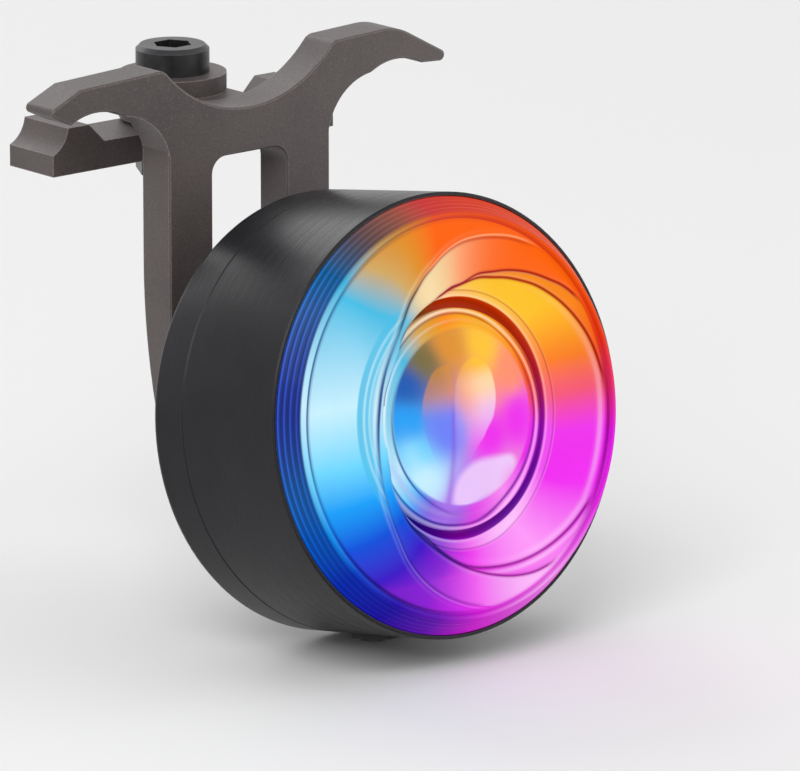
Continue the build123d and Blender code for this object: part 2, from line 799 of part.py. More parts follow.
# Reflector: white dish ring over the chips, with a collar round the centre chip
with BuildPart() as reflector:
    with BuildSketch(lamp_section):
        with BuildLine():
            Polyline(
                (0, -led_board_depth),
                (board_radius, -led_board_depth),
                (board_radius, -led_board_depth + reflector_flange_thickness),
                (reflector_radius, -led_board_depth + reflector_flange_thickness),
                (reflector_radius, reflector_front),
                (reflector_radius - reflector_outer_wall, reflector_front),
                (chip_circle + chip_window / 2 + reflector_draft, -led_board_depth + reflector_floor),
                (reflector_ring_inner + reflector_ring_wall + reflector_draft, -led_board_depth + reflector_floor),
                (reflector_ring_inner + reflector_ring_wall, reflector_front),
                (reflector_ring_inner, reflector_front),
                (centre_chip_size, -led_board_depth + reflector_floor),
                (0, -led_board_depth + reflector_floor),
                close=True,
            )
        make_face()
    revolve(axis=lamp_axis)
    with BuildSketch(lamp_plane(-led_board_depth)):
        with PolarLocations(chip_circle, chip_count):
            Rectangle(chip_window, chip_window)
        Rectangle(centre_chip_size + 2 * centre_window_play, centre_chip_size + 2 * centre_window_play)
    extrude(amount=reflector_floor, mode=Mode.SUBTRACT)
save(reflector.part, "reflector")

# Board that carries the light-emitting chips, on the drum's ledge
with BuildPart() as led_board:
    with BuildSketch(lamp_plane(led_board_back)):
        Circle(board_radius)
    extrude(amount=led_board_thickness)
save(led_board.part, "led_board")

# Ring of colour chips under the swirl lens
with BuildPart() as ring_leds:
    with BuildSketch(lamp_plane(-led_board_depth)):
        with PolarLocations(chip_circle, chip_count):
            RectangleRounded(chip_size, chip_size, chip_corner)
    extrude(amount=chip_height)
save(ring_leds.part, "ring_leds")

# Centre chip under the dome
with BuildPart() as centre_led:
    with BuildSketch(lamp_plane(-led_board_depth)):
        RectangleRounded(centre_chip_size, centre_chip_size, chip_corner)
    extrude(amount=chip_height)
save(centre_led.part, "centre_led")

# Main board, clamped between the drum's bosses and the cover's spigot
with BuildPart() as main_board:
    with BuildSketch(lamp_plane(main_board_back)):
        Circle(board_radius)
        with PolarLocations(boss_circle, cover_screw_count, start_angle=cover_screw_start):
            Circle(cover_screw_diameter / 2 + hole_play, mode=Mode.SUBTRACT)
    extrude(amount=main_board_thickness)
save(main_board.part, "main_board")

# Controller and motion sensor chips on the back of the main board
with BuildPart() as board_chips:
    with BuildSketch(lamp_plane(main_board_back - controller_height)):
        Rectangle(controller_size, controller_size)
        with Locations((sensor_x, 0), (-sensor_x, 0)):
            Rectangle(sensor_size, sensor_size)
    extrude(amount=controller_height)
save(board_chips.part, "board_chips")

# Foam pad that the cell is stuck down with
boss_side = boss_circle * math.cos(math.radians(cover_screw_start - 60))
battery_width = 2 * (boss_side - screw_boss_radius - battery_side_gap)
battery_centre_y = boss_circle - screw_boss_radius - battery_top_gap - battery_height / 2
with BuildPart() as battery_pad:
    with BuildSketch(lamp_plane(main_board_front)):
        with Locations((0, battery_centre_y)):
            Rectangle(battery_width - 2 * pad_inset, battery_height - 2 * pad_inset)
    extrude(amount=pad_thickness)
save(battery_pad.part, "battery_pad")

# Flat rechargeable cell
battery_back = main_board_front + pad_thickness
battery_thickness = led_board_back - battery_front_gap - battery_back
with BuildPart() as battery:
    with BuildSketch(lamp_plane(battery_back)):
        with Locations((0, battery_centre_y)):
            RectangleRounded(battery_width, battery_height, battery_corner)
    extrude(amount=battery_thickness)
save(battery.part, "battery")

# Pin header that joins the two boards
with BuildPart() as board_link:
    with BuildSketch(lamp_plane(main_board_front)):
        with Locations((link_edge - bore_radius, 0)):
            Rectangle(link_width, link_length)
    extrude(amount=led_board_back - main_board_front)
save(board_link.part, "board_link")

# Charging socket at the lower edge of the main board, its mouth facing down
socket_plane = below_plane(bore_radius - socket_mouth - socket_mouth_gap)
with BuildPart() as charging_socket:
    with BuildSketch(socket_plane):
        SlotOverall(socket_width, socket_height)
    extrude(amount=-socket_length)
    with BuildSketch(socket_plane):
        SlotOverall(socket_width - 2 * socket_wall, socket_height - 2 * socket_wall)
    extrude(amount=-socket_length + socket_end_wall, mode=Mode.SUBTRACT)
    with BuildSketch(socket_plane.offset(-socket_length + socket_end_wall)):
        Rectangle(tongue_width, tongue_height)
    extrude(amount=tongue_length)
save(charging_socket.part, "charging_socket")

# Rubber flap over the charging port: skin in the pocket, with a rolled edge on its hinge line at
# the right, plug in the port and finger tab at the left
flap_roll = flap_thickness / 2
hinge_x = flap_length / 2 - flap_roll
flap_side = Plane(
    origin=lamp_point(0, -pocket_radius, socket_level - flap_width / 2),
    x_dir=lamp_right,
    z_dir=lamp_forward,
)
with BuildPart() as port_flap:
    with BuildSketch(flap_side):
        with Locations(((hinge_x - flap_length / 2) / 2, -flap_roll)):
            Rectangle(hinge_x + flap_length / 2, flap_thickness)
        with Locations((hinge_x, -flap_roll)):
            Circle(flap_roll)
    extrude(amount=flap_width)
    free_edges = edges().filter_by(lamp_axis_up).sort_by(Axis.X)[:2]
    fillet(free_edges, radius=flap_corner)
    with BuildSketch(below_plane(pocket_radius)):
        SlotOverall(
            socket_width + 2 * port_play - 2 * flap_plug_inset,
            socket_height + 2 * port_play - 2 * flap_plug_inset,
        )
    extrude(amount=-flap_plug_depth)
    with BuildSketch(below_plane(pocket_radius + flap_thickness)):
        with Locations((-flap_length / 2 + flap_tab, 0)):
            Rectangle(flap_tab, flap_width / 2)
    extrude(amount=flap_tab_height)
save(port_flap.part, "port_flap")

# Power button: cap in the drum's side hole, kept in by a flange inside the wall
with BuildPart() as power_button:
    with BuildSketch(side_plane(flange_outer_x)):
        SlotOverall(button_length - 2 * button_play, button_width - 2 * button_play)
    extrude(amount=drum_radius + button_proud - flange_outer_x)
    fillet(edges().group_by(Axis.X)[-1], radius=button_round)
    with BuildSketch(side_plane(drum_radius + button_proud)):
        SlotOverall(button_length - 2 * button_dish_inset, button_width - 2 * button_dish_inset)
    extrude(amount=-button_dish, mode=Mode.SUBTRACT)
    with BuildSketch(side_plane(flange_outer_x - button_flange_thickness)):
        SlotOverall(flange_length, button_width + 2 * button_lip)
    extrude(amount=button_flange_thickness)
save(power_button.part, "power_button")

# Tactile switch on the main board, its stem facing the button
stem_end_x = flange_outer_x - button_flange_thickness - button_travel - switch_gap
with BuildPart() as tactile_switch:
    switch_side = stem_end_x - switch_stem_length
    with BuildSketch(lamp_plane(main_board_front)):
        with Locations((switch_side - switch_depth / 2, 0)):
            Rectangle(switch_depth, switch_width)
    extrude(amount=switch_height)
    with BuildSketch(side_plane(switch_side)):
        Circle(switch_stem / 2)
    extrude(amount=switch_stem_length)
save(tactile_switch.part, "tactile_switch")
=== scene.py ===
import math
import bpy
import numpy as np
from mathutils import Matrix, Vector


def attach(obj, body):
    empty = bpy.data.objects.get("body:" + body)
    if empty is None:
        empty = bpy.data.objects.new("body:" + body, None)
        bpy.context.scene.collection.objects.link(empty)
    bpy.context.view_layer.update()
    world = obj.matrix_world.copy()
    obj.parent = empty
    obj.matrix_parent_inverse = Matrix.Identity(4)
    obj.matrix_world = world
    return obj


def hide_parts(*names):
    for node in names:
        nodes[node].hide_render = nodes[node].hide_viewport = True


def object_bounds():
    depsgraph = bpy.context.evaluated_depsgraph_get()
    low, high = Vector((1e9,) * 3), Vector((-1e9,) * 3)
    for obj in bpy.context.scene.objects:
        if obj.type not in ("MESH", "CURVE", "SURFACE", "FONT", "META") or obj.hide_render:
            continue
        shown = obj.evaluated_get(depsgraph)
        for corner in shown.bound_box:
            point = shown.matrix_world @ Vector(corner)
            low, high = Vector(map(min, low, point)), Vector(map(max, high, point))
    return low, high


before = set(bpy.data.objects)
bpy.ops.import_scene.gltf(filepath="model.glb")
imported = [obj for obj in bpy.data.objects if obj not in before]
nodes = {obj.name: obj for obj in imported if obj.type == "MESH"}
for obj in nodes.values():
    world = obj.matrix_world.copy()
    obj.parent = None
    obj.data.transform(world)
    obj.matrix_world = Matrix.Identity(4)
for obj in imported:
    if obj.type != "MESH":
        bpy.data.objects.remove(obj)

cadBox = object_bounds()
mm = 0.001

# Camera, light and floor
view = {
    "place": (-0.63228, -0.77426, 0.22334),
    "azimuth": -40.30,      # degrees, 0 looks along +Y
    "elevation": 14.33,
    "lens": 405.0, "sensor": 36.0,      # millimetres
    "nearest": 0.02,
}
studio = {
    "floorColour": (0.86, 0.86, 0.86), "floorRough": 0.8,
    "floorSize": 8.0, "floorGap": 0.0002,
    "skyForObject": 0.55, "skySeen": 1.0,
    "aim": (0.0, -0.02, -0.025),
    "keyPower": 6.9, "keySize": 0.7, "keyPlace": (-0.75, -0.55, 0.75),
    "fillPower": 3.4, "fillSize": 0.9, "fillPlace": (0.85, -0.70, 0.35),
    "backPower": 3.4, "backSize": 0.8, "backPlace": (0.10, 0.95, 0.70),
}


def addCamera(facts):
    # looks back along (sin a cos e, -cos a cos e, sin e), with its right side level
    a, e = math.radians(facts["azimuth"]), math.radians(facts["elevation"])
    back = Vector((math.sin(a) * math.cos(e), -math.cos(a) * math.cos(e), math.sin(e)))
    right = Vector((math.cos(a), math.sin(a), 0.0))
    up = back.cross(right)
    data = bpy.data.cameras.new("photoCamera")
    data.lens, data.sensor_width, data.clip_start = facts["lens"], facts["sensor"], facts["nearest"]
    camera = bpy.data.objects.new("photoCamera", data)
    bpy.context.scene.collection.objects.link(camera)
    turn = Matrix((right, up, back)).transposed().to_4x4()
    camera.matrix_world = Matrix.Translation(facts["place"]) @ turn
    bpy.context.scene.camera = camera


def addLamp(name, place, power, size, aim):
    data = bpy.data.lights.new(name, "AREA")
    data.energy, data.size, data.shape = power, size, "SQUARE"
    lamp = bpy.data.objects.new(name, data)
    bpy.context.scene.collection.objects.link(lamp)
    lamp.location = place
    lamp.rotation_euler = (Vector(aim) - Vector(place)).to_track_quat("-Z", "Y").to_euler()


def addStudio(facts):
    world = bpy.data.worlds.new("studioSky")
    bpy.context.scene.world = world
    world.use_nodes = True
    tree = world.node_tree
    tree.nodes.clear()
    out = tree.nodes.new("ShaderNodeOutputWorld")
    soft = tree.nodes.new("ShaderNodeBackground")
    soft.inputs["Color"].default_value = (1, 1, 1, 1)
    soft.inputs["Strength"].default_value = facts["skyForObject"]
    pale = tree.nodes.new("ShaderNodeBackground")
    pale.inputs["Color"].default_value = (1, 1, 1, 1)
    pale.inputs["Strength"].default_value = facts["skySeen"]
    ray = tree.nodes.new("ShaderNodeLightPath")
    mix = tree.nodes.new("ShaderNodeMixShader")
    seen = ray.outputs["Is Camera Ray"]
    for kind in ("Is Glossy Ray", "Is Transmission Ray"):
        both = tree.nodes.new("ShaderNodeMath")
        both.operation, both.use_clamp = "ADD", True
        tree.links.new(seen, both.inputs[0])
        tree.links.new(ray.outputs[kind], both.inputs[1])
        seen = both.outputs[0]
    tree.links.new(seen, mix.inputs[0])
    tree.links.new(soft.outputs[0], mix.inputs[1])
    tree.links.new(pale.outputs[0], mix.inputs[2])
    tree.links.new(mix.outputs[0], out.inputs["Surface"])
    for name in ("key", "fill", "back"):
        addLamp(name + "Lamp", facts[name + "Place"], facts[name + "Power"], facts[name + "Size"], facts["aim"])
    half, low = facts["floorSize"] / 2, cadBox[0][2] - facts["floorGap"]
    mesh = bpy.data.meshes.new("floor")
    mesh.from_pydata([(-half, -half, low), (half, -half, low), (half, half, low), (-half, half, low)],
                     [], [(0, 1, 2, 3)])
    floor = bpy.data.objects.new("floor", mesh)
    bpy.context.scene.collection.objects.link(floor)
    finish = bpy.data.materials.new("floorPaint")
    finish.use_nodes = True
    shader = finish.node_tree.nodes["Principled BSDF"]
    shader.inputs["Base Color"].default_value = (*facts["floorColour"], 1)
    shader.inputs["Roughness"].default_value = facts["floorRough"]
    mesh.materials.append(finish)


addCamera(view)
addStudio(studio)
bpy.context.scene.view_settings.view_transform = "Standard"
print("camera and studio ready")


# Finishes
def paintLinear(colour):
    # display colour 0-255 to linear: c / 12.92 for dark values, ((c + 0.055) / 1.055)^2.4 above them
    c = np.asarray(colour, float) / 255.0
    return np.where(c <= 0.04045, c / 12.92, ((c + 0.055) / 1.055) ** 2.4)


def newFinish(name):
    finish = bpy.data.materials.new(name)
    finish.use_nodes = True
    tree = finish.node_tree
    return finish, tree, tree.nodes["Principled BSDF"]


def addNode(tree, kind, **settings):
    node = tree.nodes.new(kind)
    for key, value in settings.items():
        if key in node.inputs:
            node.inputs[key].default_value = value
        else:
            setattr(node, key, value)
    return node


def coords(tree, scale=(1, 1, 1), place=(0, 0, 0), turn=(0, 0, 0)):
    source = addNode(tree, "ShaderNodeTexCoord")
    mapping = addNode(tree, "ShaderNodeMapping", vector_type="POINT")
    mapping.inputs["Location"].default_value = place
    mapping.inputs["Rotation"].default_value = turn
    mapping.inputs["Scale"].default_value = scale
    tree.links.new(source.outputs["Object"], mapping.inputs["Vector"])
    return mapping.outputs["Vector"]


def noise(tree, vector, scale, detail=4.0, rough=0.55):
    node = addNode(tree, "ShaderNodeTexNoise", Scale=scale, Detail=detail, Roughness=rough)
    tree.links.new(vector, node.inputs["Vector"])
    return node.outputs["Fac"]


def remap(tree, value, low, high, toLow=0.0, toHigh=1.0):
    node = addNode(tree, "ShaderNodeMapRange")
    for slotName, number in (("From Min", low), ("From Max", high), ("To Min", toLow), ("To Max", toHigh)):
        node.inputs[slotName].default_value = number
    tree.links.new(value, node.inputs["Value"])
    return node.outputs["Result"]


def blendColour(tree, share, first, second):
    # each colour is three linear numbers or another node's output
    node = addNode(tree, "ShaderNodeMix", data_type="RGBA")
    tree.links.new(share, node.inputs[0])
    for socket, colour in ((node.inputs[6], first), (node.inputs[7], second)):
        if isinstance(colour, bpy.types.NodeSocket):
            tree.links.new(colour, socket)
        else:
            socket.default_value = (*colour, 1)
    return node.outputs[2]


def bumpFrom(tree, shader, heights, last=None):
    # heights: list of (value, distance in metres, strength), stacked one on the next
    for value, distance, strength in heights:
        bump = addNode(tree, "ShaderNodeBump", Strength=strength, Distance=distance)
        tree.links.new(value, bump.inputs["Height"])
        if last:
            tree.links.new(last, bump.inputs["Normal"])
        last = bump.outputs["Normal"]
    tree.links.new(last, shader.inputs["Normal"])


def edgeShare(tree, width, low=0.02, high=0.22):
    # 0 on a flat face, 1 on an edge: how far the rounded normal leans from the true one
    rounded = addNode(tree, "ShaderNodeBevel", samples=6, Radius=width)
    true = addNode(tree, "ShaderNodeNewGeometry")
    lean = addNode(tree, "ShaderNodeVectorMath", operation="DOT_PRODUCT")
    tree.links.new(rounded.outputs["Normal"], lean.inputs[0])
    tree.links.new(true.outputs["Normal"], lean.inputs[1])
    return remap(tree, lean.outputs["Value"], 1 - low, 1 - high)


def wearAndEdgeHighlightFinish(name, facts):
    # two tones by a broad noise, grain and bump by a fine one, paler edges that are partly wear and partly a painted
    # highlight
    finish, tree, shader = newFinish(name)
    place = coords(tree, facts.get("stretch", (1, 1, 1)))
    broad = noise(tree, coords(tree), facts["broad"], 3.0)
    fine = noise(tree, place, facts["grain"], 5.0, 0.65)
    colour = blendColour(tree, remap(tree, broad, 0.35, 0.65), facts["dark"], facts["light"])
    if "fleck" in facts:
        flecks = remap(tree, noise(tree, coords(tree, place=(0.3, 0.1, 0.2)), facts["fleckScale"], 2.0, 0.5),
                       *facts["fleckRange"])
        colour = blendColour(tree, flecks, colour, facts["fleck"])
        pits = remap(tree, noise(tree, coords(tree, place=(0.7, 0.4, 0.1)), facts["fleckScale"] * 1.3, 2.0, 0.5),
                     *facts["fleckRange"])
        colour = blendColour(tree, pits, colour, facts["pit"])
    # paler edges: partly wear, partly a painted highlight where the edges catch light
    if "edge" in facts:
        edgeWearAndGlint = addNode(tree, "ShaderNodeMath", operation="MULTIPLY")
        tree.links.new(edgeShare(tree, facts["edgeWidth"]), edgeWearAndGlint.inputs[0])
        tree.links.new(remap(tree, fine, 0.30, 0.60), edgeWearAndGlint.inputs[1])
        colour = blendColour(tree, edgeWearAndGlint.outputs[0], colour, facts["edge"])
    tree.links.new(colour, shader.inputs["Base Color"])
    tree.links.new(remap(tree, fine, 0.25, 0.75, *facts["rough"]), shader.inputs["Roughness"])
    shader.inputs["Metallic"].default_value = facts.get("metal", 0.0)
    shader.inputs["Specular IOR Level"].default_value = facts.get("specular", 0.5)
    shader.inputs["Coat Weight"].default_value = facts.get("coat", 0.0)
    shader.inputs["Coat Roughness"].default_value = facts.get("coatRough", 0.1)
    bumpFrom(tree, shader, [(fine, facts["bump"], facts.get("bumpStrength", 0.6))])
    return finish


# edge: the paler colour on edges, partly wear and partly a painted highlight
finishFacts = {
    "bracketCoat": dict(broad=60, grain=3500, dark=(0.060, 0.047, 0.046), light=(0.088, 0.070, 0.068),
                        fleck=(0.115, 0.093, 0.091), pit=(0.040, 0.032, 0.032), fleckScale=5200,
                        fleckRange=(0.56, 0.72), edge=(0.42, 0.35, 0.34), edgeWidth=0.00022,
                        rough=(0.38, 0.58), bump=0.00003),
    "blackSteel": dict(broad=300, grain=5000, dark=(0.030, 0.030, 0.032), light=(0.055, 0.055, 0.058),
                       edge=(0.40, 0.39, 0.38), edgeWidth=0.00012, rough=(0.28, 0.46), metal=0.9,
                       bump=0.000006),
    "nylon": dict(broad=400, grain=4000, dark=(0.60, 0.57, 0.50), light=(0.70, 0.68, 0.62),
                  rough=(0.42, 0.58), bump=0.00001),
    "sealRubber": dict(broad=500, grain=6000, dark=(0.012, 0.012, 0.012), light=(0.022, 0.022, 0.022),
                       rough=(0.45, 0.6), bump=0.00001),
    "flapRubber": dict(broad=400, grain=7000, dark=(0.014, 0.014, 0.015), light=(0.024, 0.024, 0.025),
                       edge=(0.07, 0.07, 0.07), edgeWidth=0.0002, rough=(0.62, 0.82), bump=0.00002),
    "reflectorWhite": dict(broad=200, grain=3000, dark=(0.78, 0.78, 0.77), light=(0.84, 0.84, 0.84),
                           rough=(0.16, 0.28), bump=0.000005, coat=0.3),
    "boardGreen": dict(broad=900, grain=5200, dark=(0.006, 0.060, 0.026), light=(0.012, 0.105, 0.045),
                       fleck=(0.03, 0.16, 0.08), pit=(0.004, 0.04, 0.02), fleckScale=1500,
                       fleckRange=(0.58, 0.62), rough=(0.25, 0.4), bump=0.00001, coat=0.4),
    "chipWhite": dict(broad=700, grain=4000, dark=(0.78, 0.74, 0.45), light=(0.86, 0.84, 0.62),
                      edge=(0.88, 0.88, 0.86), edgeWidth=0.0004, rough=(0.25, 0.4), bump=0.000008),
    "chipBlack": dict(broad=900, grain=6000, dark=(0.014, 0.014, 0.015), light=(0.026, 0.026, 0.028),
                      edge=(0.08, 0.08, 0.08), edgeWidth=0.00015, rough=(0.5, 0.7), bump=0.00001),
    "foamGrey": dict(broad=900, grain=3500, dark=(0.16, 0.16, 0.16), light=(0.24, 0.24, 0.24),
                     rough=(0.8, 0.95), bump=0.00006),
    "cellFoil": dict(broad=250, grain=900, dark=(0.46, 0.46, 0.48), light=(0.58, 0.58, 0.60),
                     rough=(0.22, 0.42), metal=0.85, bump=0.00005),
    "socketSteel": dict(broad=600, grain=5000, stretch=(1, 1, 0.15), dark=(0.52, 0.52, 0.53),
                        light=(0.62, 0.62, 0.63), rough=(0.16, 0.3), metal=1.0, bump=0.000004),
}
finishes = {name: wearAndEdgeHighlightFinish(name, facts) for name, facts in finishFacts.items()}

# The lamp's own frame: u right, v up and h forward from the middle of its front rim
lampFacts = {
    "tilt": 9.3,
    "rimCentre": (0.0, -36.824, -28.278),
}
lean = math.radians(lampFacts["tilt"])
lampAxes = np.array([(1.0, 0.0, 0.0), (0.0, math.sin(lean), math.cos(lean)), (0.0, -math.cos(lean), math.sin(lean))])


def anodisedFinish(name, facts):
    # turned metal: fine rings round the lamp's axis, drawn by a noise that only changes along it
    finish, tree, shader = newFinish(name)
    centre = Vector(lampFacts["rimCentre"]) * mm
    shift = addNode(tree, "ShaderNodeVectorMath", operation="SUBTRACT")
    shift.inputs[1].default_value = centre
    source = addNode(tree, "ShaderNodeTexCoord")
    tree.links.new(source.outputs["Object"], shift.inputs[0])
    along = addNode(tree, "ShaderNodeVectorMath", operation="DOT_PRODUCT")
    along.inputs[1].default_value = lampAxes[2]
    tree.links.new(shift.outputs[0], along.inputs[0])
    length = addNode(tree, "ShaderNodeVectorMath", operation="LENGTH")
    tree.links.new(shift.outputs[0], length.inputs[0])
    lines = []
    for value, scale in ((along.outputs["Value"], facts["alongScale"]),
                         (length.outputs["Value"], facts["roundScale"])):
        ring = addNode(tree, "ShaderNodeTexNoise", noise_dimensions="1D", Scale=scale, Detail=3.0)
        tree.links.new(value, ring.inputs["W"])
        lines.append(ring.outputs["Fac"])
    both = addNode(tree, "ShaderNodeMath", operation="ADD")
    tree.links.new(lines[0], both.inputs[0])
    tree.links.new(lines[1], both.inputs[1])
    broad = noise(tree, coords(tree), facts["broad"], 3.0)
    fine = noise(tree, coords(tree), facts["grain"], 4.0, 0.6)
    colour = blendColour(tree, remap(tree, broad, 0.35, 0.65), facts["dark"], facts["light"])
    # paler edges: partly wear, partly a painted highlight where the edges catch light
    edgeWearAndGlint = addNode(tree, "ShaderNodeMath", operation="MULTIPLY")
    tree.links.new(edgeShare(tree, facts["edgeWidth"]), edgeWearAndGlint.inputs[0])
    tree.links.new(remap(tree, fine, 0.35, 0.60), edgeWearAndGlint.inputs[1])
    colour = blendColour(tree, edgeWearAndGlint.outputs[0], colour, facts["edge"])
    tree.links.new(colour, shader.inputs["Base Color"])
    tree.links.new(remap(tree, both.outputs[0], 0.7, 1.3, *facts["rough"]), shader.inputs["Roughness"])
    shader.inputs["Metallic"].default_value = facts["metal"]
    shader.inputs["Specular IOR Level"].default_value = facts["specular"]
    bumpFrom(tree, shader, [(both.outputs[0], facts["ringBump"], 0.5), (fine, facts["bump"], 0.5)])
    return finish


blackFacts = dict(alongScale=9000, roundScale=7000, broad=55, grain=5500, dark=(0.010, 0.010, 0.012),
                  light=(0.017, 0.017, 0.020), edge=(0.10, 0.10, 0.105), edgeWidth=0.00015, rough=(0.24, 0.38),
                  metal=0.10, specular=0.16, ringBump=0.000004, bump=0.000003)
drumBlack = anodisedFinish("drumBlack", blackFacts)
print("finishes ready:", len(finishes) + 1)


def lampSpace(u, v, h):
    # point = rimCentre + u * right + v * up + h * forward, in metres
    local = np.stack(np.broadcast_arrays(u, v, h), axis=-1)
    return (np.array(lampFacts["rimCentre"]) + local @ lampAxes) * mm


def meshFromGrid(name, points, colours=None):
    # points: rows x columns x 3, closed both ways, four corners to a face
    rows, columns = points.shape[:2]
    i, j = np.meshgrid(np.arange(rows), np.arange(columns), indexing="ij")
    nextI, nextJ = (i + 1) % rows, (j + 1) % columns
    faces = np.stack([i * columns + j, i * columns + nextJ, nextI * columns + nextJ, nextI * columns + j], -1)
    return meshFromArrays(name, points.reshape(-1, 3), faces.reshape(-1, 4),
                          None if colours is None else colours.reshape(-1, 3))


def meshFromArrays(name, points, faces, colours=None):
    mesh = bpy.data.meshes.new(name)
    mesh.vertices.add(len(points))
    mesh.vertices.foreach_set("co", points.astype(np.float32).ravel())
    sides = faces.shape[1]
    mesh.loops.add(faces.size)
    mesh.loops.foreach_set("vertex_index", faces.astype(np.int32).ravel())
    mesh.polygons.add(len(faces))
    mesh.polygons.foreach_set("loop_start", np.arange(0, faces.size, sides, dtype=np.int32))
    mesh.polygons.foreach_set("loop_total", np.full(len(faces), sides, dtype=np.int32))
    mesh.polygons.foreach_set("use_smooth", np.ones(len(faces), dtype=bool))
    mesh.update(calc_edges=True)
    mesh.validate()
    if colours is not None:
        layer = mesh.color_attributes.new("glow", "FLOAT_COLOR", "POINT")
        layer.data.foreach_set("color", np.column_stack([colours, np.ones(len(colours))]).astype(np.float32).ravel())
    piece = bpy.data.objects.new(name, mesh)
    bpy.context.scene.collection.objects.link(piece)
    return piece


def ease(t):
    # 3 t^2 - 2 t^3
    t = np.clip(t, 0, 1)
    return t * t * (3 - 2 * t)


def softLine(distance, width):
    # exp(-(d / w)^2)
    return np.exp(-((distance / width) ** 2))


def shortWay(turn):
    # the same turn in degrees, brought to -180 ... 180
    return np.mod(turn + 180, 360) - 180


def around(angle, middle, reach):
    # the same bell round a direction: exp(-((a - m) / reach)^2), the short way round
    return softLine(shortWay(angle - middle), reach)


def roundSpline(stops, angle):
    # closed smooth curve through (degrees, value) stops: cubic Hermite with central slopes
    stops = sorted(stops)
    at = np.array([s[0] for s in stops], float)
    value = np.array([s[1] for s in stops], float)
    at = np.concatenate([at[-2:] - 360, at, at[:2] + 360])
    value = np.concatenate([value[-2:], value, value[:2]])
    slope = np.gradient(value, at)
    angle = np.mod(angle - at[2], 360) + at[2]
    k = np.clip(np.searchsorted(at, angle, side="right") - 1, 0, len(at) - 2)
    gap = at[k + 1] - at[k]
    t = (angle - at[k]) / gap
    return ((2 * t**3 - 3 * t**2 + 1) * value[k] + (t**3 - 2 * t**2 + t) * gap * slope[k]
            + (3 * t**2 - 2 * t**3) * value[k + 1] + (t**3 - t**2) * gap * slope[k + 1])


# Colours of the lit lens by name
palette = {
    "red": (250, 70, 30), "orange": (255, 100, 0), "amber": (255, 195, 40), "ochre": (225, 145, 40),
    "cream": (255, 230, 180), "sand": (210, 170, 100), "moss": (120, 110, 60), "denim": (20, 90, 180),
    "sky": (70, 190, 230), "ice": (200, 240, 255), "azure": (20, 160, 250), "royal": (10, 80, 220),
    "navy": (0, 20, 130), "indigo": (60, 20, 200), "periwinkle": (110, 130, 250), "violet": (140, 30, 210),
    "lavender": (190, 130, 250), "orchid": (240, 130, 220), "magenta": (240, 40, 240), "pink": (255, 140, 250),
    "lilac": (240, 205, 255), "rose": (245, 60, 130), "coral": (255, 140, 100), "aqua": (110, 215, 255),
}
# the lamp's lights: degrees round from the right, then the colour there
ringLights = [(0, "rose"), (14, "red"), (34, "orange"), (92, "orange"), (103, "ochre"), (114, "sand"), (130, "sky"),
              (168, "ice"), (190, "aqua"), (205, "azure"), (221, "royal"), (238, "indigo"), (254, "violet"),
              (270, "magenta"), (298, "pink"), (325, "magenta"), (346, "magenta")]
# how each band takes the light up, in this order: a turn in degrees at the top or left, shares of amber, cream,
# a haze (colour, share, place, reach) and white, pale low on the right, colour^deep * strength, navy, shade
# cream, white and pale are painted highlights, shade is painted shade
bandLooks = {
    "outerBlade": dict(),
    "middleBlade": dict(turnTop=11, cream=0.85, pale=0.35),
    "crescent": dict(amber=0.45, cream=0.5, deep=1.1, strength=0.95),
    "innerBlade": dict(amber=1.4, amberAt=(58, 36), cream=0.6, pale=0.1),
    "innerBand": dict(amber=1.0, amberAt=(62, 38), cream=0.5, pale=0.35, white=0.05),
    "well": dict(haze=("violet", 0.85, 305, 55), deep=1.4, strength=0.6, shade=0.85),
    "ribs": dict(deep=1.3, strength=0.72, navy=0.95, shade=0.5),
    # painted highlight along the rim's bead
    "rim": dict(pale=0.3),
    # painted shadow at the foot of each ridge step
    "lines": dict(deep=2.2, strength=0.42, navy=0.85, shade=0.6),
    # painted highlight along each crest
    "crests": dict(amber=0.85, amberAt=(70, 45), cream=0.6, white=0.34),
    "edgeTone": dict(amber=0.8, amberAt=(68, 36), turnLeft=-38, haze=("lavender", 0.8, 252, 20), strength=0.95),
    "ringBand": dict(amber=0.75, amberAt=(66, 34), turnLeft=-38, haze=("lavender", 0.7, 252, 20), strength=0.95),
    # painted shade in the groove of the dome's ring
    "hollow": dict(amber=0.5, amberAt=(70, 34), haze=("violet", 0.7, 305, 50), turnLeft=-20, navy=0.6, deep=1.3,
                   strength=0.6),
    # painted highlights on the ring's crests
    "ringCrest": dict(amber=0.9, amberAt=(70, 42), cream=0.6, white=0.32),
    "innerCrest": dict(cream=0.5, white=0.4),
    # painted shade outside the ring's crest
    "beyond": dict(haze=("violet", 0.85, 315, 50), deep=1.4, strength=0.5, shade=0.5),
    "swing": dict(navy=0.7, deep=1.2, strength=0.6),
}
# a band that changes nothing
plainLook = dict(turnTop=0, turnLeft=0, amber=0, amberAt=(50, 32), cream=0, haze=("violet", 0, 0, 1), pale=0,
                 white=0, navy=0, shade=0, deep=1, strength=1)
# where each share is strongest and how far it reaches, in degrees
sharePlaces = {"turnTop": (92, 26), "turnLeft": (200, 45), "cream": (100, 20), "pale": (292, 20), "navy": (168, 58),
               "shade": (116, 14)}


def paint(name):
    # a palette colour as linear values
    return paintLinear(palette[name])


def lay(colour, tone, share):
    # colour + (tone - colour) * share
    return colour + (tone - colour) * np.asarray(share)[..., None]


def ringGlow(angle):
    # colour round the lens, blended in straight runs from one light to the next
    at = np.array([degrees for degrees, _ in ringLights] + [ringLights[0][0] + 360], float)
    value = np.array([paint(name) for _, name in ringLights] + [paint(ringLights[0][1])])
    angle = np.mod(angle, 360)
    return np.stack([np.interp(angle, at, value[:, c]) for c in range(3)], -1)


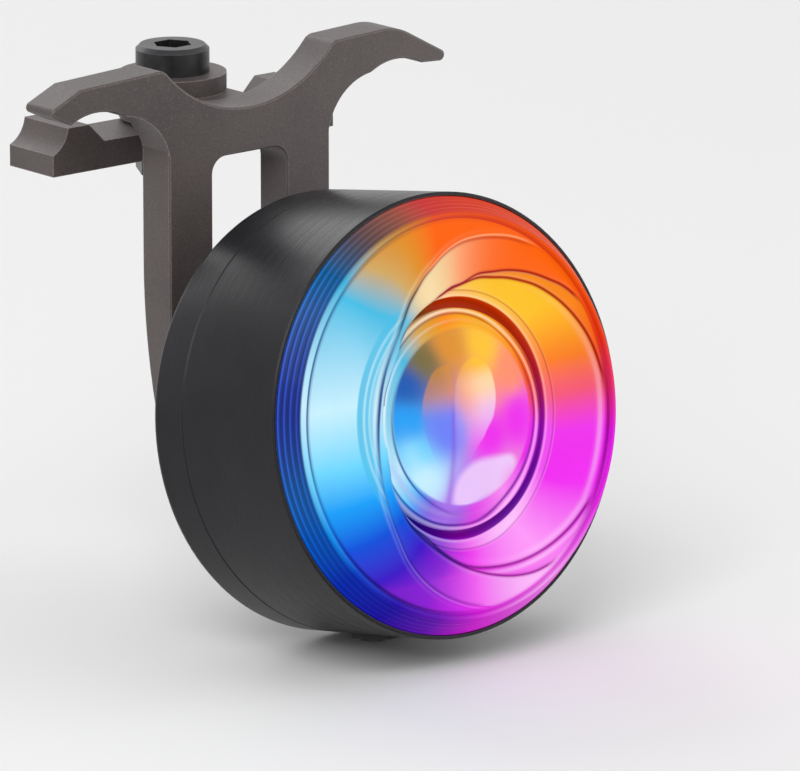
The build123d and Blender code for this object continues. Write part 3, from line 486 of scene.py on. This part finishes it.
def bandGlow(band, angle):
    # the ring's light after the band's own turn, tints, painted highlights, painted shade, power and strength
    look = {**plainLook, **bandLooks[band]}
    here = {name: look[name] * around(angle, *place) for name, place in sharePlaces.items()}
    colour = ringGlow(angle + here["turnTop"] + here["turnLeft"])
    colour = lay(colour, paint("amber"), np.minimum(look["amber"] * around(angle, *look["amberAt"]), 1))
    colour = lay(colour, paint("cream"), here["cream"])
    hazeName, hazeShare, hazeAt, hazeReach = look["haze"]
    colour = lay(colour, paint(hazeName), hazeShare * around(angle, hazeAt, hazeReach))
    colour = lay(colour, np.ones(3), look["white"] + here["pale"])
    colour = colour ** look["deep"] * look["strength"]
    colour = lay(colour, paint("navy"), here["navy"])
    return colour * (1 - here["shade"])[..., None]


def levelAngle(angle, radius, side, reference):
    # asin(radius * sin(angle) / reference): where a circle of that radius has this point's height, on that side
    lift = np.clip(radius * np.sin(np.radians(angle)) / reference, -1, 1)
    flat = np.degrees(np.arcsin(lift))
    return flat if side == "right" else 180 - flat


# Swirl lens: every number pair is (degrees round from the right, millimetres out from the middle)
swirl = {
    "columns": 620,
    "rimInside": 22.05,
    "ridgeA": [(165, 11.5), (156, 11.6), (147, 11.8), (138, 12.1), (127, 12.7), (118, 13.7), (111, 14.8),
               (106, 15.5), (100, 16.5), (95, 17.2), (90, 18.1), (82, 19.3), (75, 20.0), (68, 20.6), (62, 21.1),
               (51, 21.8), (40, 22.6), (20, 23.8), (0, 24.4), (-20, 24.4), (-40, 24.0), (-60, 23.2), (-75, 22.4),
               (-83, 22.0), (-91, 21.4), (-98, 20.7), (-107, 19.7), (-116, 18.5), (-123, 17.4), (-132, 15.8),
               (-142, 14.5), (-152, 13.5), (-163, 12.6), (-176, 11.9), (174, 11.6)],
    "ridgeB": [(190, 10.95), (160, 10.95), (140, 11.1), (132, 11.5), (126, 12.05), (120, 12.5), (112, 12.9),
               (104, 13.25), (97, 13.6), (92, 14.0), (87, 14.5), (81, 14.9), (72, 16.2), (65, 16.9), (59, 17.7),
               (53, 18.5), (47, 19.3), (41, 20.1), (36, 20.9), (31, 21.5), (25, 21.9), (14, 22.2), (0, 22.3),
               (-15, 22.4), (-30, 22.4), (-43, 22.35), (-53, 22.05), (-60, 21.6), (-65, 21.1), (-73, 20.0),
               (-81, 18.8), (-94, 17.05), (-101, 16.2), (-115, 14.8), (-127, 14.0), (-141, 12.85), (-150, 12.2),
               (-156, 11.7)],
    "ridgeB2": [(190, 10.9), (160, 10.9), (140, 11.0), (126, 11.9), (112, 12.8), (104, 13.15), (97, 13.45),
                (87, 14.3), (80, 14.85), (71, 15.8), (64, 16.3), (58, 16.9), (51, 17.6), (45, 18.3), (38, 19.0),
                (31, 19.7), (24, 20.35), (17, 20.95), (5, 21.6), (-8, 22.0), (-20, 22.1), (-32, 21.9), (-42, 21.25),
                (-52, 20.4), (-62, 19.5), (-79, 18.0), (-95, 16.7), (-104, 15.6), (-116, 14.3), (-127, 13.75),
                (-141, 12.75), (-150, 12.15), (-156, 11.6)],
    "innerLine": [(0, 14.05), (25, 14.1), (80, 14.1), (95, 14.0), (102, 13.6), (112, 12.9), (126, 11.8), (140, 11.0),
                  (190, 10.9), (203, 11.45), (210, 12.1), (-138, 12.95), (-125, 13.9), (-109, 14.6), (-90, 14.95),
                  (-75, 14.95), (-60, 14.6), (-45, 14.3), (-20, 14.1)],
    "wellEdge": [(0, 12.95), (30, 13.15), (60, 13.35), (90, 13.4), (103, 13.25), (113, 12.85), (120, 12.45),
                 (126, 12.0), (132, 11.4), (140, 10.9), (190, 10.8), (203, 11.4), (210, 12.05), (-140, 12.7),
                 (-130, 13.25), (-118, 13.6), (-105, 13.8), (-90, 13.85), (-75, 13.7), (-57, 13.5), (-40, 13.25),
                 (-25, 13.05)],
    # three arcs that show through the blade on the left
    "arcRadii": (14.85, 13.85, 13.08),
    "wellFloor": 0.45,
    # height at its start and end, rows and dip of each band
    "runs": {"innerBand": (1.74, 1.84, 12, 0.03), "innerBlade": (1.88, 1.93, 24, 0.10),
             "crescent": (2.04, 2.03, 14, 0.05), "middleBlade": (2.14, 2.12, 24, 0.08),
             "outerBlade": (2.30, 2.24, 34, 0.02)},
    # radii that levelAngle refers to, on the left and on the right
    "levelRadii": (17.5, 17.0),
    # radius and height of each row that closes the piece behind
    "underside": [(22.3, 2.2), (22.3, -0.38), (22.2, -0.4), (10.4, -0.4)],
}


def bladeRun(rows, start, end, startHeight, endHeight, count, band, dip=0.0, first=True):
    # rows between two ridges, closer together near both:
    # share = (1 - cos(pi t)) / 2, radius = start + (end - start) * share,
    # height = startHeight + (endHeight - startHeight) * share - dip * sin(pi * share)
    for t in np.linspace(0, 1, count)[0 if first else 1:]:
        share = (1 - math.cos(math.pi * t)) / 2
        rows.append((start + (end - start) * share,
                     startHeight + (endHeight - startHeight) * share - dip * math.sin(math.pi * share), band))


def swirlSection(angle):
    # rows of radius, height and colour in every direction; each ridge = min(its curve, the next one out - a gap)
    rimInside = swirl["rimInside"]
    ridge = {k: roundSpline(swirl[k], angle) for k in ("ridgeA", "ridgeB", "ridgeB2", "innerLine", "wellEdge")}
    a = np.minimum(ridge["ridgeA"], rimInside - 0.12)
    b = np.minimum(ridge["ridgeB"], a - 0.20)
    b2 = np.minimum(ridge["ridgeB2"], b - 0.06)
    line = np.minimum(ridge["innerLine"], b2 - 0.05)
    edge = np.minimum(ridge["wellEdge"], line - 0.05)
    # 0 where the ridges close up under the blade on the left, 1 where they stand apart
    room = ease((edge - 11.6) / 0.7)
    aShow = ease((rimInside - 0.2 - ridge["ridgeA"]) / 0.5)
    bShow = ease((rimInside - 0.1 - ridge["ridgeB"]) / 0.5) * ease((b - edge - 0.05) / 0.4)
    b2Show = ease((rimInside - 0.1 - ridge["ridgeB2"]) / 0.4) * ease((b2 - edge - 0.1) / 0.5)
    guide = np.minimum(15.1, rimInside - 1.0)
    guide = np.maximum(guide, a + (rimInside - a) * 0.35)
    floor = swirl["wellFloor"]
    rows = []
    bladeRun(rows, np.minimum(10.4, edge - 0.6), edge - 0.30, floor, floor, 4, "well")
    bladeRun(rows, edge - 0.30, edge - 0.10, floor, 1.62, 6, "well", first=False)
    for start, end, band in ((edge - 0.03, line - 0.02, "innerBand"),
                             (line, np.maximum(b2 - 0.07, line + 0.01), "innerBlade"),
                             (b2, np.maximum(b - 0.07, b2 + 0.01), "crescent"),
                             (b, a - 0.07, "middleBlade"), (a, guide, "outerBlade")):
        startHeight, endHeight, count, dip = swirl["runs"][band]
        bladeRun(rows, start, end, startHeight, endHeight, count, band, dip)
    bladeRun(rows, guide, rimInside * np.ones_like(angle), 2.24, 2.22, 22, "outerBlade", first=False)
    radius, height = np.stack([r[0] for r in rows]), np.stack([r[1] * np.ones_like(angle) for r in rows])
    leftLevel, rightLevel = (levelAngle(angle, radius, side, reference)
                             for side, reference in zip(("left", "right"), swirl["levelRadii"]))
    leftShare = np.where(np.mod(angle, 360) < 176, around(angle, 176, 30), around(angle, 176, 60))
    rightShare = around(angle, 2, 42)
    colour = np.zeros(radius.shape + (3,))
    for k, (_, _, band) in enumerate(rows):
        look = angle * 1.0
        if band in ("outerBlade", "middleBlade"):
            look = look + shortWay(leftLevel[k] - angle) * leftShare
            look = look - 2.0 * (radius[k] - 18.5) * around(angle, 117, 13)
        if band in ("innerBlade", "crescent"):
            look = look + shortWay(rightLevel[k] - angle) * rightShare
        colour[k] = bandGlow(band, look)
    # painted shadow colour for the ridge feet, painted highlight colour for the crests
    dark, pale = bandGlow("lines", angle), bandGlow("crests", angle)
    top, left, low = around(angle, 75, 45), around(angle, 165, 50), around(angle, -42, 52)
    lowLeft = around(angle, -130, 36)
    # painted shade: the floor of the well darker than its wall
    wellWall = ease((radius - edge + 0.34) / 0.26) * (radius < edge)
    colour = lay(colour, colour * 0.68, (1 - wellWall) * (radius < edge))
    inside = (radius < guide) & (radius > a)
    # the disc seen through the blade on the left, with its two paler rings
    outerArc, middleArc, innerArc = swirl["arcRadii"]
    colour = lay(colour, paint("sky"), ease((outerArc - radius) / 0.22 + 0.5) * inside * left * 0.85)
    for arc, share in ((middleArc, 0.8), (innerArc, 0.7)):
        colour = lay(colour, paint("ice"), softLine(radius - arc, 0.15) * inside * left * share)
    colour = lay(colour, paint("ice"), ease((innerArc - 0.1 - radius) / 0.5) * inside * left * 0.7)
    # painted highlights: pale bands and crest lines; then painted shadow: the dark foot of each ridge and the dark
    # line inside the rim
    right = around(angle, -12, 34)
    highlightBandFoot = np.minimum(b2, rimInside - 0.1)
    pinkBand = around(angle, -62, 24)
    for place, share in (
        (softLine(radius - highlightBandFoot + 0.72, 0.36) * (radius < highlightBandFoot),
         0.8 * np.maximum(right, around(angle, -45, 26))),
        (softLine(radius - b2 - 0.52, 0.27), 0.95 * pinkBand * b2Show),
        (softLine(radius - b + 0.30, 0.10), (0.45 * top + 0.25 * low) * bShow),
        (softLine(radius - b - 0.22, 0.14), 0.5 * low * bShow),
        (softLine(radius - b2 - 0.20, 0.10), 0.3 * top * b2Show),
        (softLine(radius - a - 0.20, 0.12), (0.3 * lowLeft + 0.3 * low + 0.45 * top) * aShow),
        (softLine(radius - a - 0.72, 0.20), 0.9 * left * aShow),
        (softLine(radius - line - 0.14, 0.10), 0.35 * room * (0.3 + 0.7 * low)),
        (softLine(radius - edge - 0.12, 0.12), (0.7 * room)),
    ):
        colour = lay(colour, pale, np.clip(place * share, 0, 1))
    lineA = np.maximum(np.maximum(left, around(angle, 112, 22)), 0.45 * top)
    rimLine = np.maximum(np.maximum(left, lowLeft), around(angle, -14, 30))
    for place, share in (
        (softLine(radius - a + 0.14 - 0.34 * left, 0.16 + 0.12 * around(angle, 118, 22) + 0.15 * left),
         aShow * np.maximum(lineA, 0.5)),
        (softLine(radius - b + 0.12, 0.20), bShow),
        (softLine(radius - b2 + 0.10, 0.19), b2Show),
        (softLine(radius - line + 0.04, 0.09), 0.45 * room),
        (softLine(radius - rimInside + 0.14, 0.20), 0.95 * (0.08 + 0.92 * rimLine)),
    ):
        colour = lay(colour, dark, np.clip(place * share, 0, 1))
    return radius, height, np.clip(colour, 0, 1)


def addUnderside(radius, height, colour, outline):
    # closes a section with rows of one radius and height each
    ones = np.ones_like(radius[:1])
    shade = colour[-1:] * 0.5
    return (np.concatenate([radius] + [r * ones for r, _ in outline]),
            np.concatenate([height] + [h * ones for _, h in outline]),
            np.concatenate([colour] + [shade] * len(outline)))


def roundPiece(name, angle, radius, height, colour, lift=0.0):
    # closed mesh about the lamp's axis: u = radius * cos(angle), v = radius * sin(angle) + lift
    u, v = radius * np.cos(np.radians(angle)), radius * np.sin(np.radians(angle)) + lift
    return meshFromGrid(name, lampSpace(u, v, height), colour)


angle = np.arange(swirl["columns"]) * 360.0 / swirl["columns"]
section = addUnderside(*swirlSection(angle), swirl["underside"])
swirlLens = roundPiece("swirlLens", angle, *section)
print("swirl lens rows:", section[0].shape[0], "faces:", len(swirlLens.data.polygons))

# Ribbed rim: a rounded bead at the front, then a cone with four ribs down to the seat in the drum
ribbed = {
    "columns": 620,
    "beadInside": 22.05, "beadPeak": (22.55, 2.55), "beadOutside": (23.0, 2.2),
    "coneFoot": (24.5, 0.0), "coneRows": 60,
    "ribStart": 0.07, "ribPitch": 0.265, "ribDepth": 0.09,
    "beadFoot": 2.2, "beadRows": 17, "beadPower": 2.2,
    "underside": [(24.5, -0.2), (24.5, -1.58), (23.3, -1.6), (23.3, -3.58), (21.9, -3.6), (21.9, -0.42),
                  (22.05, -0.3)],
}


def ribbedSection(angle):
    # bead: height = peak - drop * |x|^power across its width; cone: a straight fall with
    # depth * (1 - cos(2 pi (share - start) / pitch)) / 2 taken off it
    ones = np.ones_like(angle)
    ribs, rim = bandGlow("ribs", angle), bandGlow("rim", angle)
    left = around(angle, 165, 52)
    shows = np.maximum(left, 0.2 * around(angle, 235, 30))
    beadShow = 0.8 - 0.65 * around(angle, 248, 34) - 0.45 * around(angle, 72, 36)
    rows = []
    inside, (peakR, peakH), (outR, outH) = ribbed["beadInside"], ribbed["beadPeak"], ribbed["beadOutside"]
    for t in np.linspace(-1, 1, ribbed["beadRows"]):
        r = peakR + t * (peakR - inside if t < 0 else outR - peakR)
        h = peakH - (peakH - (ribbed["beadFoot"] if t < 0 else outH)) * abs(t) ** ribbed["beadPower"]
        # painted highlight along the bead: wide on the left, narrow elsewhere
        wide, narrow = ease((0.95 - t) / 0.3) * ease((t + 1.05) / 0.3), softLine(t, 0.42)
        rows.append((r * ones, h * ones, lay(ribs, rim, wide * left + narrow * (1 - left) * beadShow)))
    footR, footH = ribbed["coneFoot"]
    for share in np.linspace(0.97, 0, ribbed["coneRows"]):
        wave = 0.5 + 0.5 * math.cos(2 * math.pi * (share - ribbed["ribStart"]) / ribbed["ribPitch"])
        r = footR + (outR - footR) * share - ribbed["ribDepth"] * (1 - wave)
        h = footH + (outH - footH) * share
        # painted highlights along the rib crests, painted shade in the valleys between the ribs
        pale = np.clip(ribs * 2.2 + 0.3 * paint("royal"), 0, 1)
        strength = wave**6 * (1.0 - 0.55 * share) * 0.9
        tone = lay(ribs * (1 - 0.28 * (1 - wave) * shows)[:, None], pale, strength * shows)
        rows.append((r * ones, h * ones, tone))
    radius, height, colour = (np.stack(part) for part in zip(*rows))
    return radius, height, colour


angle = np.arange(ribbed["columns"]) * 360.0 / ribbed["columns"]
section = addUnderside(*ribbedSection(angle), ribbed["underside"])
ribbedRim = roundPiece("ribbedRim", angle, *section)
print("ribbed rim rows:", section[0].shape[0], "faces:", len(ribbedRim.data.polygons))

# Centre lens: a dome with the lights seen in its depth, and a band that falls to a low ring
dome = {
    "columns": 460,
    "edgeRadius": 10.1, "footHeight": 2.4, "rise": 1.9,
    # the ring stands lower than the dome: drop * ease((r - start) / reach)
    "ringDrop": -0.35, "dropStart": 10.3, "dropReach": 1.6,
    # distance out of the dark line, the outer crest and the line that swings away low on the left
    "hollowRadius": [(0, 10.75), (20, 10.6), (45, 10.9), (70, 11.6), (90, 11.93), (110, 11.98), (130, 11.75),
                     (150, 11.38), (175, 11.35), (195, 11.75), (215, 11.95), (245, 11.95), (260, 11.8), (275, 11.75),
                     (300, 11.15), (325, 10.9), (345, 10.8)],
    "crestRadius": [(0, 11.42), (20, 11.42), (45, 11.55), (70, 12.0), (90, 12.25), (110, 12.22), (130, 12.05),
                    (150, 11.93), (175, 11.93), (195, 12.25), (215, 12.3), (245, 12.24), (260, 12.15), (275, 12.12),
                    (300, 11.74), (325, 11.46), (345, 11.44)],
    "swingRadius": [(0, 10.3), (90, 9.9), (150, 9.95), (175, 10.0), (200, 10.06), (215, 10.15), (230, 10.3),
                    (245, 10.55), (256, 10.8), (275, 11.0)],
    # the outline outside the dome: radius, height
    "outline": [(10.14, 2.37), (10.28, 2.33), (10.44, 2.35), (10.60, 2.31), (10.90, 2.16), (11.20, 2.02),
                (11.35, 1.90), (11.50, 1.82), (11.64, 1.91), (11.80, 1.95), (11.96, 1.93), (12.10, 1.82),
                (12.24, 1.66), (12.38, 1.40), (12.42, 1.20)],
    "wall": [(12.44, 0.8), (12.44, 0.46), (12.44, -0.36), (12.40, -0.4), (6.0, -0.4), (0.04, -0.4)],
    "domeRows": 120, "outlineRows": 48,
    # broad lights seen in the dome: right, up, colour
    "lights": [(-1.2, 8.2, "ochre"), (3.6, 7.4, "amber"), (7.0, 4.2, "coral"), (7.4, -1.4, "magenta"),
               (5.2, -7.4, "orchid"), (-0.8, -9.0, "lavender"), (-6.8, -6.2, "ice"), (-7.4, -3.4, "aqua"),
               (-8.4, 0.6, "azure"), (-7.6, 4.8, "denim"), (-5.0, 7.0, "moss"), (-3.4, -1.2, "periwinkle"),
               (2.6, -2.6, "magenta"), (1.4, 2.4, "coral")],
    "lightReach": 1.7,
    # painted reflections seen in the dome: outline, its middle and soft edge, the tints from high to low, how strong
    "rightLobe": {"centre": (1.0, 1.5), "soft": 0.36, "tints": ("amber", "cream", "lilac"), "share": 0.75,
                  "outline": [(-1.2, 4.5), (0.0, 5.8), (1.0, 6.3), (2.0, 6.4), (3.6, 5.3), (4.1, 3.4), (4.0, 1.6),
                              (3.2, -0.5), (1.7, -2.3), (-0.1, -4.3), (-2.1, -6.6), (-2.8, -6.0), (-2.8, -3.0),
                              (-2.5, 0.0), (-2.0, 2.5)]},
    "leftLobe": {"centre": (-2.4, 0.8), "soft": 0.30, "tints": ("ochre", "ochre", "periwinkle"), "share": 0.5,
                 "outline": [(-0.6, 5.6), (-2.3, 6.2), (-3.9, 5.8), (-5.2, 4.4), (-6.2, 2.3), (-6.4, 0.1),
                             (-5.9, -2.2), (-4.8, -4.6), (-3.2, -6.6), (-1.4, -5.2), (0.2, -3.2), (1.2, -0.6),
                             (1.4, 2.0), (0.6, 4.2)]},
    "rightPatch": {"centre": (2.2, -7.4), "soft": 1.3, "tints": ("lilac", "lilac", "lilac"), "share": 0.92,
                   "outline": [(-2.3, -9.7), (-2.6, -8.2), (-2.1, -6.7), (-0.7, -5.5), (1.4, -5.0), (4.3, -5.1),
                               (6.8, -5.9), (7.0, -7.1), (5.3, -8.5), (2.7, -9.4), (0.3, -9.9)]},
    # a painted highlight, a pale streak along the lower left edge: its direction, width, distance out and share
    "streak": {"tone": "ice", "angle": 217, "reach": 24, "radius": 8.7, "width": 1.25, "share": 0.5},
    # the dark seam between the lobes: its place at a level, how it leans, its width and how that grows downwards
    "seam": {"tone": "violet", "place": -2.3, "level": 1.7, "leans": 0.07, "width": 0.26, "grows": 0.022,
             "share": 0.4},
}


def lightField(u, v, lights, reach):
    # colour = sum(w_i c_i) / sum(w_i), w_i = 1 / (d_i^2 + reach^2)^2
    total, weight = np.zeros(u.shape + (3,)), np.zeros(u.shape)
    for x, y, name in lights:
        w = 1.0 / ((u - x) ** 2 + (v - y) ** 2 + reach**2) ** 2
        total += w[..., None] * paint(name)
        weight += w
    return total / weight[..., None]


def shapeInside(u, v, facts):
    # 1 inside a closed outline drawn round its centre, falling to 0 across its soft edge
    x, y = facts["centre"]
    corners = np.array(facts["outline"]) - (x, y)
    stops = list(zip(np.degrees(np.arctan2(corners[:, 1], corners[:, 0])), np.hypot(corners[:, 0], corners[:, 1])))
    reach = roundSpline(stops, np.degrees(np.arctan2(v - y, u - x)))
    return ease((reach - np.hypot(u - x, v - y)) / facts["soft"] + 0.5)


def domeColours(u, v):
    # the broad lights, then painted reflections: the streak, the three shapes and the dark seam between the lobes
    colour = lightField(u, v, dome["lights"], dome["lightReach"])
    streak, dark = dome["streak"], dome["seam"]
    seam = dark["place"] - dark["leans"] * (dark["level"] - v)
    turn, out = np.degrees(np.arctan2(v, u)), np.hypot(u, v)
    colour = lay(colour, paint(streak["tone"]), softLine(out - streak["radius"], streak["width"])
                 * around(turn, streak["angle"], streak["reach"]) * streak["share"])
    # how strongly each shape shows: the lobes fade downwards, the right one is palest along its right edge
    fades = {"rightPatch": 1 - 0.75 * ease((u - 3.6) / 3.4) * ease((-5.6 - v) / 2.6),
             "leftLobe": ease((v + 5.0) / 4.5) * ease((seam - u) / 0.5 + 0.8),
             "rightLobe": ease((v + 5.6) / 6.5) * (0.2 + 0.8 * ease((u + 2.4) / 5.0))}
    for name, fade in fades.items():
        facts = dome[name]
        high, middle, low = (paint(tint) for tint in facts["tints"])
        tint = lay(lay(high * np.ones_like(colour), middle, ease((5.8 - v) / 2.4)), low, ease((3.4 - v) / 3.2))
        colour = lay(colour, tint, shapeInside(u, v, facts) * facts["share"] * fade)
    line = softLine(u - seam + 0.15, dark["width"] + dark["grows"] * np.clip(2 - v, 0, 10)) * ease((3.2 - v) / 4.0)
    return lay(colour, paint(dark["tone"]), line * dark["share"])


def ringTone(angle, r, tone, place):
    # band, then painted highlights on the inner crest on the left and the outer crest, painted shade in the dark
    # line and the dark beyond the crest on the right
    colour = lay(tone["edgeTone"], tone["ringBand"], ease((r - 10.16) / 0.24) * np.ones_like(angle))
    left, lowLeft, right = around(angle, 172, 62), around(angle, 222, 26), around(angle, -14, 58)
    colour = lay(colour, tone["innerCrest"], softLine(r - 10.92 - 0.10 * lowLeft, 0.17 + 0.18 * lowLeft) * left)
    colour = lay(colour, tone["hollow"], softLine(r - place["hollowRadius"], 0.16 + 0.10 * right))
    colour = lay(colour, tone["ringCrest"], softLine(r - place["crestRadius"], 0.17 + 0.04 * right))
    colour = lay(colour, tone["beyond"], ease((r - place["crestRadius"] - 0.2) / 0.18) * np.clip(right * 1.3, 0, 1))
    return lay(colour, tone["swing"], softLine(r - place["swingRadius"], 0.13) * around(angle, 202, 46))


def domeSection(angle):
    # dome: height = foot + rise * (1 - (r / edge)^2); outside it a fixed outline of the band and the low ring
    ones = np.ones_like(angle)
    u0, v0 = np.cos(np.radians(angle)), np.sin(np.radians(angle))
    tone = {k: bandGlow(k, angle)
            for k in ("edgeTone", "ringBand", "hollow", "ringCrest", "innerCrest", "beyond", "swing")}
    place = {k: roundSpline(dome[k], angle) for k in ("hollowRadius", "crestRadius", "swingRadius")}
    edge, foot = dome["edgeRadius"], dome["footHeight"]
    rows = []
    for share in np.linspace(0.004, 1, dome["domeRows"]):
        r = edge * share
        colour = lay(domeColours(r * u0, r * v0), tone["edgeTone"], ease((share - 0.962) / 0.03) * ones * 0.9)
        colour = lay(colour, tone["swing"], softLine(r - place["swingRadius"], 0.13) * around(angle, 202, 46))
        rows.append((r * ones, (foot + dome["rise"] * (1 - share**2)) * ones, colour))
    outline = np.array(dome["outline"])
    for r in np.linspace(outline[0, 0], outline[-1, 0], dome["outlineRows"]):
        height = np.interp(r, outline[:, 0], outline[:, 1])
        # rows below 1.45 mm are darkened as painted shade
        rows.append((r * ones, height * ones, ringTone(angle, r, tone, place) * (1 if height > 1.45 else 0.7)))
    # painted shade on the wall down into the drum
    wall = lay(tone["hollow"], tone["beyond"], around(angle, -14, 70)) * 0.55
    for r, height in dome["wall"]:
        rows.append((r * ones, height * ones, wall))
    return tuple(np.stack(part) for part in zip(*rows))


angle = np.arange(dome["columns"]) * 360.0 / dome["columns"]
section = domeSection(angle)
drop = dome["ringDrop"] * ease((section[0] - dome["dropStart"]) / dome["dropReach"])
domeLens = roundPiece("domeLens", angle, *section, lift=drop)
print("dome lens rows:", section[0].shape[0], "faces:", len(domeLens.data.polygons))


def litAcrylic(name, facts):
    # moulded clear plastic lit from behind: its colour is the glow attribute, the lamp's light with painted
    # highlights, painted shade and painted reflections in it, under a glossy skin
    finish, tree, shader = newFinish(name)
    glowIn = addNode(tree, "ShaderNodeAttribute", attribute_name="glow")
    cloud = noise(tree, coords(tree), facts["cloud"], 3.0)
    dim = addNode(tree, "ShaderNodeVectorMath", operation="SCALE")
    tree.links.new(glowIn.outputs["Color"], dim.inputs[0])
    tree.links.new(remap(tree, cloud, 0.3, 0.7, *facts["body"]), dim.inputs["Scale"])
    tree.links.new(dim.outputs[0], shader.inputs["Base Color"])
    tree.links.new(glowIn.outputs["Color"], shader.inputs["Emission Color"])
    shader.inputs["Emission Strength"].default_value = facts["strength"]
    tree.links.new(remap(tree, noise(tree, coords(tree), facts["grain"], 3.0), 0.3, 0.7, *facts["rough"]),
                   shader.inputs["Roughness"])
    shader.inputs["Coat Weight"].default_value = facts["coat"]
    shader.inputs["Coat Roughness"].default_value = facts["coatRough"]
    shader.inputs["Specular IOR Level"].default_value = facts["specular"]
    bumpFrom(tree, shader, [(noise(tree, coords(tree), facts["waves"], 2.0), facts["bump"], 0.4)])
    return finish


litFacts = {
    "swirlAcrylic": dict(cloud=120, grain=2500, waves=900, bump=0.000006, body=(0.22, 0.27), strength=0.74,
                         specular=0.04, rough=(0.16, 0.24), coat=0.02, coatRough=0.06),
    "domeAcrylic": dict(cloud=160, grain=2500, waves=900, bump=0.000006, body=(0.22, 0.27), strength=0.74,
                        specular=0.06, rough=(0.10, 0.16), coat=0.03, coatRough=0.06),
}
swirlFinish, domeFinish = (litAcrylic(name, facts) for name, facts in litFacts.items())
for piece, finish, node, slotName in ((swirlLens, swirlFinish, "lens", "lens_clear"),
                                      (ribbedRim, swirlFinish, "lens", "lens_clear"),
                                      (domeLens, domeFinish, "centre_lens", "centre_clear")):
    piece.data.materials.append(finish)
    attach(piece, "lamp")
    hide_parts(node)

# Finishes on the CAD nodes
nodeFinishes = {
    "rail_bracket": finishes["bracketCoat"], "clamp_bar": finishes["bracketCoat"],
    "clamp_screw": finishes["blackSteel"], "clamp_nut": finishes["blackSteel"],
    "pivot_bolt": finishes["blackSteel"], "pivot_nut": finishes["blackSteel"],
    "lug_screws": finishes["blackSteel"], "cover_screws": finishes["blackSteel"],
    "tilt_washers": finishes["nylon"], "tilt_lug": drumBlack, "housing": drumBlack, "rear_cover": drumBlack,
    "cover_seal": finishes["sealRubber"], "lens_seal": finishes["sealRubber"],
    "port_flap": finishes["flapRubber"], "power_button": finishes["flapRubber"],
    "reflector": finishes["reflectorWhite"], "led_board": finishes["boardGreen"],
    "main_board": finishes["boardGreen"], "ring_leds": finishes["chipWhite"], "centre_led": finishes["chipWhite"],
    "board_chips": finishes["chipBlack"], "board_link": finishes["chipBlack"],
    "tactile_switch": finishes["chipBlack"], "battery_pad": finishes["foamGrey"],
    "battery": finishes["cellFoil"], "charging_socket": finishes["socketSteel"],
}
for name, finish in nodeFinishes.items():
    for slot in nodes[name].material_slots:
        slot.material = finish
print("finishes on", len(nodeFinishes), "nodes")
